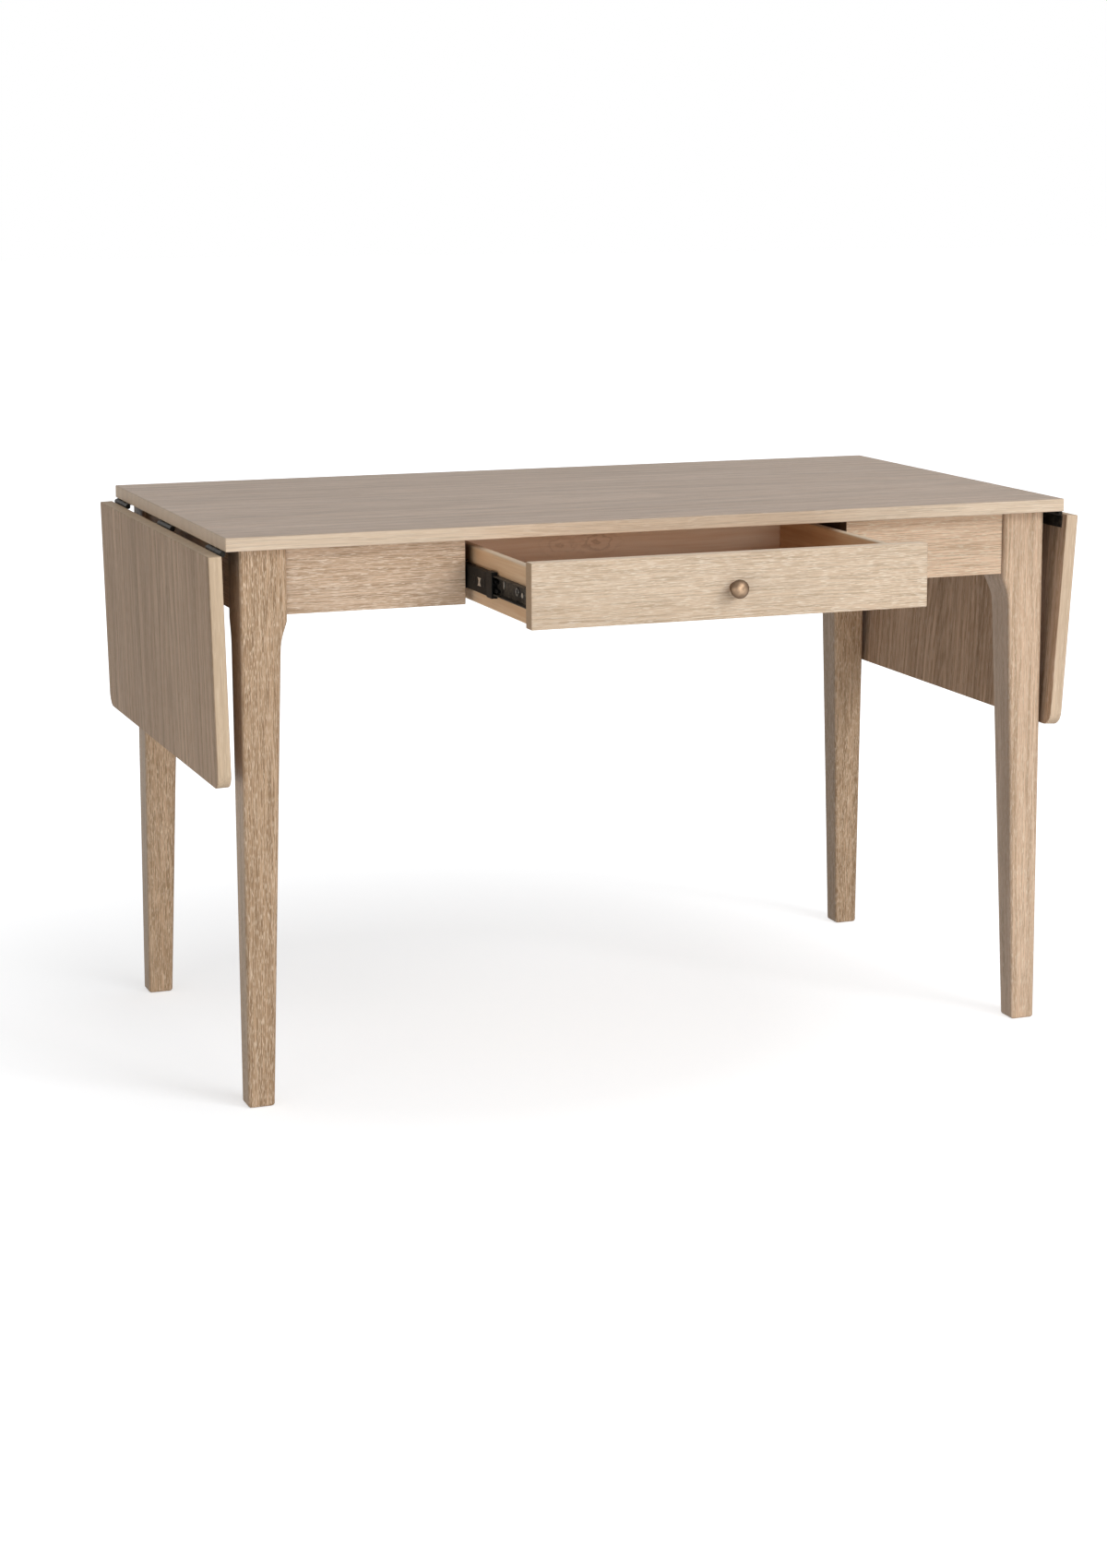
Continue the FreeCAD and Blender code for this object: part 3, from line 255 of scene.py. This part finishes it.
def oak(name, axes, seed, tint, lime=0.7, streaks=0.5, figure=0.6, bands=0.0, pore_rate=80.0,
        sheen=WOOD_SHEEN, arches=None, pivot=NOWHERE, lean=0.0, edge_light_and_grain=None, ends=None):
    """White-oiled oak: soft figure, brown streaks, open pores filled with white, satin sheen."""
    material, tree, shader = new_material(name)
    pale, mid, deep, white = [tinted(colour, tint) for colour in (OAK_PALE, OAK_MID, OAK_DEEP, OAK_LIME)]
    board = board_coordinates(tree, axes, seed, pivot, lean)
    bent = wavy(tree, board, OAK_WAVE)
    broad = noise(tree, bent, FIGURE_GRAIN, detail=4.0)
    streak_grain = (pore_rate / PORES_PER_STREAK, STREAKS_ACROSS, STREAKS_ACROSS)
    fine = noise(tree, bent, streak_grain, detail=2.0, roughness=0.5)
    pores = noise(tree, bent, (pore_rate, PORES_ACROSS, PORES_ACROSS), detail=1.0, roughness=0.5)
    patches = noise(tree, board, PATCH_GRAIN, detail=2.0)
    darker = span(tree, broad, *FIGURE_LEVELS, EVEN_MIX - figure / 2, EVEN_MIX + figure / 2)
    colour = blend(tree, darker, pale, mid)
    if bands:
        stripes = noise(tree, bent, STRIPE_GRAIN, detail=3.0, roughness=0.65)
        colour = blend(tree, span(tree, stripes, *STRIPE_LEVELS, 0.0, bands), colour, deep)
    if arches:
        strength, heart, slope, spacing = arches
        ring = rings(tree, bent, seed, heart, slope, spacing)
        colour = blend(tree, maths(tree, "MULTIPLY", ring, strength), colour, deep)
    colour = blend(tree, span(tree, fine, *STREAK_LEVELS, 0.0, streaks), colour, deep)
    worn = span(tree, patches, *WORN_LEVELS, WORN_LIME * lime, lime)
    filled = maths(tree, "MULTIPLY", span(tree, pores, *PORE_LEVELS), worn)
    colour = blend(tree, filled, colour, white)
    shade = span(tree, patches, *PATCH_LEVELS, *PATCH_SHADES)
    grey = add(tree, "ShaderNodeCombineXYZ", {0: shade, 1: shade, 2: shade}).outputs[0]
    colour = blend(tree, 1.0, colour, grey, "MULTIPLY")
    # Other faces: their tint is painted light above 1 and painted shade below 1; their grain is calmer.
    if edge_light_and_grain:
        face_axis, edge_light_tint, calm_share = edge_light_and_grain
        calm = blend(tree, calm_share, colour, pale)
        other = blend(tree, 1.0, calm, edge_light_tint, "MULTIPLY")
        colour = blend(tree, facing_share(tree, face_axis), other, colour)
    # Ends darken faces that face an axis: end grain on the top and drawer front, painted shade on the
    # aprons.
    if ends:
        colour = tint_faces(tree, colour, *ends)
    link(tree, colour, shader, "Base Color")
    shader.inputs["Specular IOR Level"].default_value = sheen
    link(tree, span(tree, pores, *OAK_GLOSS_LEVELS, *OAK_ROUGHNESS), shader, "Roughness")
    bump(tree, shader, maths(tree, "SUBTRACT", fine, filled), *OAK_BUMP)
    return material


# Birch

BIRCH_WAVE = 0.010
BIRCH_FIGURE_GRAIN = (2.4, 60.0, 60.0)
BIRCH_FIGURE_LEVELS = (0.36, 0.64)
BIRCH_STREAK_GRAIN = (9.0, 320.0, 320.0)
BIRCH_STREAK_LEVELS = (0.48, 0.7)
BIRCH_STREAKS = 0.5
BIRCH_GLOSS_LEVELS = (0.3, 0.7)
BIRCH_ROUGHNESS = (0.5, 0.64)
BIRCH_BUMP = (0.15, 0.0002)
KNOT_SQUASH = (0.55, 0.0, 1.0)
KNOT_GRAIN = (55.0, 55.0, 110.0)
KNOT_WANDER = 0.7
KNOT_RING = 0.6
KNOT_CORE = 0.2
KNOT_REACH = 1.7


def knot_share(tree, place, spot, size, strength):
    """How brown the wood is round a knot: uneven circles that fade away from it."""
    offset = vector_maths(tree, "SUBTRACT", place, spot)
    away = length_of(tree, vector_maths(tree, "MULTIPLY", offset, KNOT_SQUASH))
    cloud = noise(tree, place, KNOT_GRAIN, detail=3.0)
    uneven = span(tree, cloud, 0.0, 1.0, -KNOT_WANDER * size, KNOT_WANDER * size)
    swirl = maths(tree, "ADD", away, uneven)
    circles = maths(tree, "SINE", maths(tree, "MULTIPLY", swirl, FULL_TURN / (size * KNOT_RING)))
    near = span(tree, away, KNOT_CORE * size, KNOT_REACH * size, strength, 0.0)
    return maths(tree, "MULTIPLY", span(tree, circles, 0.0, 1.0), near)


def birch(name, axes, seed, tint=WHITE, knots=(), ends=None):
    """Pale plain drawer wood, with soft streaks and, where given, uneven swirls round knots."""
    material, tree, shader = new_material(name)
    pale, deep = [tinted(colour, tint) for colour in (BIRCH_PALE, BIRCH_DEEP)]
    board = board_coordinates(tree, axes, seed)
    bent = wavy(tree, board, BIRCH_WAVE)
    broad = noise(tree, bent, BIRCH_FIGURE_GRAIN, detail=4.0, roughness=0.6)
    fine = noise(tree, bent, BIRCH_STREAK_GRAIN, detail=2.0)
    colour = blend(tree, span(tree, broad, *BIRCH_FIGURE_LEVELS), pale, deep)
    colour = blend(tree, span(tree, fine, *BIRCH_STREAK_LEVELS, 0.0, BIRCH_STREAKS), colour, deep)
    for spot, size, strength in knots:
        browned = knot_share(tree, object_place(tree), spot, size, strength)
        colour = blend(tree, browned, colour, KNOT_BROWN)
    # For the drawer sides this tint is a painted highlight on their tops.
    if ends:
        colour = tint_faces(tree, colour, *ends)
    link(tree, colour, shader, "Base Color")
    shader.inputs["Specular IOR Level"].default_value = WOOD_SHEEN
    link(tree, span(tree, fine, *BIRCH_GLOSS_LEVELS, *BIRCH_ROUGHNESS), shader, "Roughness")
    bump(tree, shader, fine, *BIRCH_BUMP)
    return material


# Metal and plastic

CLOUD_SHARE = 0.1
SPECKLE_LEVELS = (0.2, 0.4)
GLOSS_LEVELS = (0.3, 0.7)
SPECKLE_BUMP = 0.2
PAINT_DEPTH = 0.00004
FINE_DEPTH = 0.00003
TURNING_MARKS = (3500.0, 1.0, 1.0)
PATINA_GRAIN = (160.0, 160.0, 160.0)
PATINA_LEVELS = (0.4, 0.7)
PATINA_SHARE = 0.5
ACROSS_KNOB_AXIS = (1.0, 0.0, 1.0)
# Painted shade: the bronze darkens between these radii out to the knob's rim.
RIM_SHADE_RADII = (0.003, 0.012)
BRONZE_ROUGHNESS = (0.36, 0.48)
BRONZE_METALLIC = 0.8
BRONZE_BUMP = (0.15, 0.0001)


def speckled(name, first, second, scale, roughness, sheen, bump_depth, metallic=0.0):
    """A finish with fine uneven tone and gloss, for paint, zinc and moulded plastic."""
    material, tree, shader = new_material(name)
    place = object_place(tree)
    cloud = noise(tree, place, (scale * CLOUD_SHARE,) * 3, detail=4.0)
    grain = noise(tree, place, (scale,) * 3, detail=2.0)
    mixed = maths(tree, "MULTIPLY", cloud, grain)
    link(tree, blend(tree, span(tree, mixed, *SPECKLE_LEVELS), first, second), shader, "Base Color")
    link(tree, span(tree, grain, *GLOSS_LEVELS, *roughness), shader, "Roughness")
    shader.inputs["Metallic"].default_value = metallic
    shader.inputs["Specular IOR Level"].default_value = sheen
    bump(tree, shader, grain, SPECKLE_BUMP, bump_depth)
    return material


def zinc_finish(name, first, second, roughness):
    return speckled(name, first, second, scale=700.0, roughness=roughness, sheen=0.5,
                    bump_depth=FINE_DEPTH, metallic=1.0)


def turned_bronze(name, axis_place):
    """Antique bronze with fine turning marks round the knob's axis and dark patches of patina. It darkens
    out to the rim: painted shade on the dome, with a lighter rubbed middle.
    """
    material, tree, shader = new_material(name)
    offset = vector_maths(tree, "SUBTRACT", object_place(tree), axis_place)
    radius = length_of(tree, vector_maths(tree, "MULTIPLY", offset, ACROSS_KNOB_AXIS))
    outward = add(tree, "ShaderNodeCombineXYZ", {0: radius}).outputs[0]
    marks = noise(tree, outward, TURNING_MARKS, detail=2.0)
    patina = noise(tree, offset, PATINA_GRAIN, detail=4.0)
    # Painted shade darkens the dome out to its rim, leaving a lighter rubbed middle.
    colour = blend(tree, span(tree, radius, *RIM_SHADE_RADII), BRONZE, BRONZE_PATINA_AND_SHADE)
    colour = blend(tree, span(tree, patina, *PATINA_LEVELS, 0.0, PATINA_SHARE), colour, BRONZE_PATINA_AND_SHADE)
    link(tree, colour, shader, "Base Color")
    link(tree, span(tree, marks, *GLOSS_LEVELS, *BRONZE_ROUGHNESS), shader, "Roughness")
    shader.inputs["Metallic"].default_value = BRONZE_METALLIC
    bump(tree, shader, marks, *BRONZE_BUMP)
    return material


# Which finish each node gets. Each side of the desk has the sign of its x.

SIDES = {"left": -1.0, "right": 1.0}
CORNERS = ("front_left", "front_right", "back_left", "back_right")


def paint(material, *names):
    for name in names:
        slots = nodes[name].data.materials
        slots.clear()
        slots.append(material)


# Oak boards. Edges are the axis that the main faces face, the tint of the other faces, painted light
# where above 1 and painted shade where below 1, and how calm their grain is. Ends are the axis that the
# tinted faces face, and their tint. Arches are their strength, a place on the heart line, its slope and
# the spacing of the rings.

LEFT_HINGE = (-0.60075, 0.123, 0.728)
RIGHT_HINGE = (0.60075, 0.123, 0.728)
LEFT_LEAN = math.radians(1.5)
RIGHT_LEAN = math.radians(-4.0)
# Painted light: the leaves' edges lighter than their broad faces.
LEAF_LIT_EDGES = ("X", (1.28, 1.39, 1.42), 0.6)
# Painted light: the top's edges lighter than its face.
TOP_LIT_EDGES = ("Z", (1.18, 1.22, 1.17), 0.35)
TOP_ENDS = ("X", (0.78, 0.73, 0.67))
# Painted light: the drawer front's top and ends lighter than its face, a painted highlight on its top.
DRAWER_LIT_EDGES = ("Y", (1.40, 1.40, 1.40), 0.6)
DRAWER_ENDS = ("X", (0.47, 0.41, 0.355))
# Painted shade: the aprons' ends at the drawer opening near black.
SHADED_CUT_ENDS = ("X", (0.16, 0.14, 0.12))
# Painted shade: the legs' sides darker than their fronts, less so on the front left leg.
LEG_SIDE_LIGHTER_SHADE = ("Y", (0.82, 0.85, 0.89), 0.25)
LEG_SIDE_SHADE = ("Y", (0.69, 0.72, 0.77), 0.25)
TOP_ARCHES = (0.30, (-1.0, 0.05, 0.70), 0.06, 0.026)
LEFT_ARCHES = (0.40, (-0.46, -0.08, -0.01), 0.18, 0.020)
RIGHT_ARCHES = (0.70, (-0.36, 0.0, 0.004), 0.20, 0.012)
VENEER_PORES = 48.0
LEG_PORES = 100.0
HIDDEN_RAIL_TINT = (1.0, 0.92, 0.86)
LEG_LOOKS = {
    "front_left": {"seed": 4.0, "tint": (0.94, 0.83, 0.73), "lime": 1.0, "streaks": 0.85, "bands": 0.6,
                   "edge_light_and_grain": LEG_SIDE_LIGHTER_SHADE},
    "front_right": {"seed": 5.0, "tint": (1.18, 1.09, 1.045), "lime": 0.5, "streaks": 0.45, "bands": 0.75,
                    "edge_light_and_grain": LEG_SIDE_SHADE},
    "back_left": {"seed": 6.0, "tint": (1.08, 0.965, 0.85), "lime": 0.95, "streaks": 0.65, "bands": 0.6,
                  "edge_light_and_grain": LEG_SIDE_SHADE},
    "back_right": {"seed": 7.0, "tint": (0.92, 0.815, 0.715), "lime": 0.95, "streaks": 0.8, "bands": 0.6,
                   "edge_light_and_grain": LEG_SIDE_SHADE},
}

top_oak = oak("oak_top", "xyz", seed=1.0, tint=(1.00, 0.98, 1.03), lime=0.45, streaks=0.5, figure=0.7,
              sheen=0.36, pore_rate=VENEER_PORES, arches=TOP_ARCHES, edge_light_and_grain=TOP_LIT_EDGES, ends=TOP_ENDS)
paint(top_oak, "table_top")
# The leaves' tints are darker than the top's: painted shade on the leaves, which are the top's oak.
shaded_left_leaf_oak = oak("oak_left_leaf_shaded", "zyx", seed=2.0, tint=(0.865, 0.778, 0.72), lime=0.5, streaks=0.6,
                    bands=0.75, sheen=0.05, pore_rate=VENEER_PORES, arches=LEFT_ARCHES, pivot=LEFT_HINGE,
                    lean=LEFT_LEAN, edge_light_and_grain=LEAF_LIT_EDGES)
paint(shaded_left_leaf_oak, "left_leaf")
shaded_right_leaf_oak = oak("oak_right_leaf_shaded", "zyx", seed=3.0, tint=(0.93, 0.835, 0.795), lime=0.5, streaks=0.6,
                     bands=0.85, sheen=0.05, pore_rate=VENEER_PORES, arches=RIGHT_ARCHES, pivot=RIGHT_HINGE,
                     lean=RIGHT_LEAN, edge_light_and_grain=LEAF_LIT_EDGES)
paint(shaded_right_leaf_oak, "right_leaf")
for corner in CORNERS:
    leg_oak = oak(f"oak_{corner}_leg", "zxy", figure=0.8, pore_rate=LEG_PORES, **LEG_LOOKS[corner])
    paint(leg_oak, f"{corner}_leg")
# Aprons: the left is darker, partly its own board and partly painted shade from the drawer beside it; the
# right is lighter, partly its own board and partly painted light.
shaded_left_apron_oak = oak("oak_left_apron_shaded", "xzy", seed=8.5, tint=(1.01, 0.94, 0.90), lime=0.85, streaks=0.6,
                     bands=0.35, ends=SHADED_CUT_ENDS)
paint(shaded_left_apron_oak, "front_rail_left")
lit_right_apron_oak = oak("oak_right_apron_lit", "xzy", seed=8.9, tint=(1.25, 1.155, 1.105), ends=SHADED_CUT_ENDS)
paint(lit_right_apron_oak, "front_rail_right")
paint(oak("oak_back_rail", "xzy", seed=9.5, tint=HIDDEN_RAIL_TINT), "back_rail")
paint(oak("oak_end_rails", "yzx", seed=10.5, tint=HIDDEN_RAIL_TINT), "end_rail_left", "end_rail_right")
drawer_oak = oak("oak_drawer_front", "xzy", seed=11.5, tint=(1.10, 1.10, 1.10), lime=0.65, streaks=0.45,
                 sheen=0.08, edge_light_and_grain=DRAWER_LIT_EDGES, ends=DRAWER_ENDS)
paint(drawer_oak, "drawer_front")


# Birch boards. A knot is its place, size and strength.

BACK_KNOTS = (((-0.028, -0.016, 0.696), 0.014, 0.42), ((-0.082, -0.016, 0.694), 0.013, 0.25))
# Painted light: the drawer back lighter and paler than the other birch.
BACK_LIGHT_TINT = (1.06, 1.14, 1.35)
# Painted highlight: the drawer sides' tops pale.
SIDE_TOP_HIGHLIGHT = ("Z", (1.05, 1.22, 1.45))
RAIL_SHADE = (0.10, 0.08, 0.07)

paint(birch("birch_back_lit", "xzy", seed=12.5, tint=BACK_LIGHT_TINT, knots=BACK_KNOTS), "drawer_back")
paint(birch("birch_sides", "yzx", seed=13.5, ends=SIDE_TOP_HIGHLIGHT), "drawer_side_left", "drawer_side_right")
paint(birch("birch_bottom", "xyz", seed=14.5), "drawer_bottom")
# Painted shade: the drawer rails near black, where the gaps beside the drawer are dark.
shaded_rail_birch = birch("shaded_drawer_rails", "yzx", seed=15.5, tint=RAIL_SHADE)
paint(shaded_rail_birch, "drawer_rail_left", "drawer_rail_right")
paint(birch("plain_supports", "xyz", seed=16.5), "support_guides",
      *[name for name in nodes if name.endswith("_support")])
paint(birch("plain_braces", "xyz", seed=17.5), *[f"{corner}_brace" for corner in CORNERS])


# Hinges, slides, screws and knob

SLIDE_ROUGHNESS = (0.40, 0.54)

black_steel = speckled("black_steel", BLACK_PAINT, BLACK_WORN, scale=900.0, roughness=(0.42, 0.55),
                       sheen=0.14, bump_depth=PAINT_DEPTH)
paint(black_steel, *[name for name in nodes if name.endswith("_plate")], "hinge_pins", "top_hinge_screws",
      "left_leaf_hinge_screws", "right_leaf_hinge_screws")
slide_steel = speckled("slide_steel", BLACK_PAINT, SLIDE_BLACK, scale=420.0, roughness=SLIDE_ROUGHNESS,
                       sheen=0.06, bump_depth=PAINT_DEPTH)
paint(slide_steel, *[f"{side}_slide_{member}" for side in SIDES for member in ("outer", "middle")])
# The inner members' pale brown specks are partly wear and partly painted reflection of the wood.
wear_and_reflection_steel = speckled("wear_and_reflection_steel", BLACK_PAINT, SLIDE_WEAR_AND_REFLECTION, scale=420.0, roughness=SLIDE_ROUGHNESS,
                      sheen=0.12, bump_depth=PAINT_DEPTH)
paint(wear_and_reflection_steel, *[f"{side}_slide_inner" for side in SIDES])
black_plastic = speckled("black_plastic", BLACK_PLASTIC, BLACK_PAINT, scale=1500.0, roughness=(0.4, 0.55),
                         sheen=0.15, bump_depth=FINE_DEPTH)
paint(black_plastic, *[f"{side}_slide_bumper" for side in SIDES])
zinc = zinc_finish("zinc", ZINC, ZINC_DULL, roughness=(0.28, 0.45))
paint(zinc, "leg_bolts", "top_screws", "knob_screw", "outer_ball_cages", "inner_ball_cages",
      "slide_rail_screws", "slide_drawer_screws")
worn_zinc = zinc_finish("worn_zinc", ZINC_DULL, BLACK_WORN, roughness=(0.35, 0.5))
bright_zinc = zinc_finish("bright_zinc", ZINC_BRIGHT, ZINC, roughness=(0.25, 0.4))
knob_low, knob_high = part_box("drawer_knob")
paint(turned_bronze("antique_bronze", tuple((knob_low + knob_high) / 2)), "drawer_knob")


# Small parts of the slides: a release lever, a bridge and an eye in the inner member, which move with the
# drawer, and a bright tab between two black rings on the middle member. Places are (y, z).

SLIDE_HEIGHT = 0.682
INNER_WEB = 0.2627
MIDDLE_WEB = 0.2715
LEVER_OUTLINE = (
    (-0.262, 0.673), (-0.262, 0.691), (-0.270, 0.691), (-0.276, 0.688), (-0.278, 0.685), (-0.271, 0.6855),
    (-0.268, 0.684), (-0.268, 0.680), (-0.272, 0.678), (-0.281, 0.6775), (-0.284, 0.6755), (-0.283, 0.6732),
    (-0.278, 0.6726),
)
LEVER_THICKNESS = 0.0048
LEVER_SOFTENING = 0.0006
RAISED_THICKNESS = 0.0012
RAISED_SOFTENING = 0.0004
PRESSED_THICKNESS = 0.0003
BRIDGE_PLACE = (-0.297, 0.6855)
BRIDGE_LENGTH = 0.005
BRIDGE_HEIGHT = 0.011
EYE_PLACE = (-0.347, 0.684)
EYE_RADIUS = 0.0056
TAB_DROP = 0.0012
TAB_PLACE = (-0.2243, SLIDE_HEIGHT - TAB_DROP)
TAB_WIDTH = 0.0134
TAB_WAIST = 0.0052
TAB_HEIGHT = 0.0108
RING_PLACES = {"front": (-0.2405, SLIDE_HEIGHT), "back": (-0.203, SLIDE_HEIGHT)}
RING_RADIUS = 0.0064
HOLE_RADIUS = 0.0036
CIRCLE_STEPS = 24
HALF_CIRCLE_STEPS = 12
TAB_STEPS = 10
BEVEL_SEGMENTS = 2


def circle(place, radius):
    turns = [FULL_TURN * number / CIRCLE_STEPS for number in range(CIRCLE_STEPS)]
    return [(place[0] + radius * math.cos(turn), place[1] + radius * math.sin(turn)) for turn in turns]


def oblong(place, length, height):
    """A slot shape that stands upright: a half circle above and one below."""
    radius = length / 2
    points = []
    for end, first in ((1.0, 0.0), (-1.0, math.pi)):
        rise = end * (height / 2 - radius)
        for number in range(HALF_CIRCLE_STEPS + 1):
            turn = first + math.pi * number / HALF_CIRCLE_STEPS
            points.append((place[0] + radius * math.cos(turn), place[1] + rise + radius * math.sin(turn)))
    return points


def hourglass(place, width, waist, height):
    """A tab with hollow sides, wide above and below."""
    steps = [-1.0 + 2.0 * number / TAB_STEPS for number in range(TAB_STEPS + 1)]
    sizes = [(step * height / 2, (waist + (width - waist) * step * step) / 2) for step in steps]
    front = [(place[0] - half, place[1] + rise) for rise, half in sizes]
    back = [(place[0] + half, place[1] + rise) for rise, half in reversed(sizes)]
    return front + back


def flat_piece(name, outline, web, thickness, sign, hole=None):
    """A flat piece that stands on a web, from its outline in (y, z) and, for a ring, its hole."""
    form = bmesh.new()
    levels = (web, web + thickness)
    loops = [[[form.verts.new((sign * across, y, z)) for y, z in points] for across in levels]
             for points in (outline, hole) if points]
    for near, far in loops:
        for number in range(len(near)):
            form.faces.new((near[number - 1], near[number], far[number], far[number - 1]))
    for level in range(len(levels)):
        if hole:
            rim, bore = loops[0][level], loops[1][level]
            for number in range(len(rim)):
                form.faces.new((rim[number - 1], rim[number], bore[number], bore[number - 1]))
        else:
            form.faces.new(loops[0][level])
    bmesh.ops.recalc_face_normals(form, faces=form.faces)
    mesh = bpy.data.meshes.new(name)
    form.to_mesh(mesh)
    form.free()
    piece = bpy.data.objects.new(name, mesh)
    bpy.context.scene.collection.objects.link(piece)
    return piece


def soften(piece, width):
    made = piece.modifiers.new("soft_edges", "BEVEL")
    made.width = width
    made.segments = BEVEL_SEGMENTS
    made.limit_method = "ANGLE"


def finish_piece(piece, material, body):
    piece.data.materials.append(material)
    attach(piece, body)


for side, sign in SIDES.items():
    lever = flat_piece(f"{side}_slide_lever", LEVER_OUTLINE, INNER_WEB, LEVER_THICKNESS, sign)
    soften(lever, LEVER_SOFTENING)
    finish_piece(lever, black_plastic, "drawer")
    bridge_outline = oblong(BRIDGE_PLACE, BRIDGE_LENGTH, BRIDGE_HEIGHT)
    bridge = flat_piece(f"{side}_slide_bridge", bridge_outline, INNER_WEB, RAISED_THICKNESS, sign)
    eye = flat_piece(f"{side}_slide_eye", circle(EYE_PLACE, EYE_RADIUS), INNER_WEB, RAISED_THICKNESS, sign,
                     hole=circle(EYE_PLACE, HOLE_RADIUS))
    for raised in (bridge, eye):
        soften(raised, RAISED_SOFTENING)
        finish_piece(raised, worn_zinc, "drawer")
    tab_outline = hourglass(TAB_PLACE, TAB_WIDTH, TAB_WAIST, TAB_HEIGHT)
    tab = flat_piece(f"{side}_slide_tab", tab_outline, MIDDLE_WEB, PRESSED_THICKNESS, sign)
    finish_piece(tab, bright_zinc, f"{side}_slide_runner")
    for end, place in RING_PLACES.items():
        ring = flat_piece(f"{side}_slide_{end}_ring", circle(place, RING_RADIUS), MIDDLE_WEB,
                          PRESSED_THICKNESS, sign, hole=circle(place, HOLE_RADIUS))
        finish_piece(ring, black_plastic, f"{side}_slide_runner")


# Floor, light and camera

FLOOR_REACH = 30.0
FLOOR_HEIGHT = -0.0004
# Painted shadow: the floor's glow is dimmer round this middle under the desk, full beyond these distances.
SHADOW_POOL_MIDDLE = (-0.2, 0.15, 0.0)
SHADOW_POOL_DISTANCES = (0.45, 1.6)
SHADOW_POOL_GLOWS = (0.54, 1.0)
WORLD_LIGHT = 0.30
LAMPS = {
    "key": {"place": (2.0, -3.4, 2.9), "target": (0.0, 0.0, 0.65), "size": (1.8, 1.6), "power": 60.0},
    "left": {"place": (-3.0, -2.7, 0.35), "target": (-0.2, -0.1, 0.6), "size": (2.4, 0.6), "power": 26.0},
    "front": {"place": (0.4, -4.2, 1.22), "target": (0.0, 0.0, 0.7), "size": (1.8, 0.5), "power": 31.0},
}


def shows_background(tree):
    """1 for what the camera sees directly, in a reflection or through glass, and 0 for light."""
    path = add(tree, "ShaderNodeLightPath").outputs
    mirror = maths(tree, "MAXIMUM", path["Is Glossy Ray"], path["Is Transmission Ray"])
    return maths(tree, "MAXIMUM", path["Is Camera Ray"], mirror)


def floor_material():
    """Pale to the camera and in reflections, with a glow that grows outward from a painted shadow
    round the desk, and grey to light.
    """
    material = bpy.data.materials.new("floor")
    material.use_nodes = True
    tree = material.node_tree
    tree.nodes.clear()
    away = length_of(tree, vector_maths(tree, "SUBTRACT", object_place(tree), SHADOW_POOL_MIDDLE))
    plain = add(tree, "ShaderNodeBsdfDiffuse", {"Color": (*FLOOR_GREY, 1.0)}).outputs[0]
    seen = add(tree, "ShaderNodeBsdfDiffuse", {"Color": (*FLOOR_SEEN, 1.0)}).outputs[0]
    # Dimmer glow near the desk: a painted shadow.
    strength = span(tree, away, *SHADOW_POOL_DISTANCES, *SHADOW_POOL_GLOWS)
    glow = add(tree, "ShaderNodeEmission", {"Strength": strength}).outputs[0]
    bright = add(tree, "ShaderNodeAddShader", {0: seen, 1: glow}).outputs[0]
    mixed = add(tree, "ShaderNodeMixShader", {0: shows_background(tree), 1: plain, 2: bright}).outputs[0]
    add(tree, "ShaderNodeOutputMaterial", {"Surface": mixed})
    return material


def make_floor():
    """A floor that looks white to the camera, takes the desk's shadow and has a painted shadow round it."""
    mesh = bpy.data.meshes.new("floor")
    ends = (-FLOOR_REACH, FLOOR_REACH)
    corners = [(x, y, FLOOR_HEIGHT) for x in ends for y in ends]
    mesh.from_pydata(corners, [], [(0, 2, 3, 1)])
    floor = bpy.data.objects.new("floor", mesh)
    bpy.context.scene.collection.objects.link(floor)
    mesh.materials.append(floor_material())


def make_world():
    world = bpy.data.worlds.new("studio")
    bpy.context.scene.world = world
    world.use_nodes = True
    tree = world.node_tree
    tree.nodes.clear()
    strength = span(tree, shows_background(tree), 0.0, 1.0, WORLD_LIGHT, 1.0)
    light = add(tree, "ShaderNodeBackground", {"Color": (*WHITE, 1.0), "Strength": strength}).outputs[0]
    add(tree, "ShaderNodeOutputWorld", {"Surface": light})


def make_lamp(name, place, target, size, power):
    data = bpy.data.lights.new(name, "AREA")
    data.shape = "RECTANGLE"
    data.size, data.size_y = size
    data.energy = power
    lamp = bpy.data.objects.new(name, data)
    lamp.location = place
    lamp.rotation_euler = (Vector(target) - Vector(place)).to_track_quat("-Z", "Y").to_euler()
    bpy.context.scene.collection.objects.link(lamp)


def make_camera():
    data = bpy.data.cameras.new("camera")
    data.sensor_width = SENSOR_MM
    data.lens = FOCAL_PIXELS * SENSOR_MM / PICTURE_HEIGHT
    data.shift_x = (PICTURE_WIDTH / 2 - AXIS_PIXEL[0]) / PICTURE_HEIGHT
    data.shift_y = (AXIS_PIXEL[1] - PICTURE_HEIGHT / 2) / PICTURE_HEIGHT
    camera = bpy.data.objects.new("camera", data)
    level = math.cos(CAMERA_TILT)
    ahead = Vector((math.sin(CAMERA_TURN) * level, math.cos(CAMERA_TURN) * level, -math.sin(CAMERA_TILT)))
    right = ahead.cross(Vector((0.0, 0.0, 1.0))).normalized()
    up = right.cross(ahead)
    turn = Matrix((right, up, -ahead)).transposed().to_4x4()
    camera.matrix_world = Matrix.Translation(CAMERA_PLACE) @ turn
    bpy.context.scene.collection.objects.link(camera)
    bpy.context.scene.camera = camera


make_floor()
make_world()
for lamp_name, lamp_settings in LAMPS.items():
    make_lamp(lamp_name, **lamp_settings)
make_camera()
bpy.context.scene.view_settings.view_transform = "Standard"
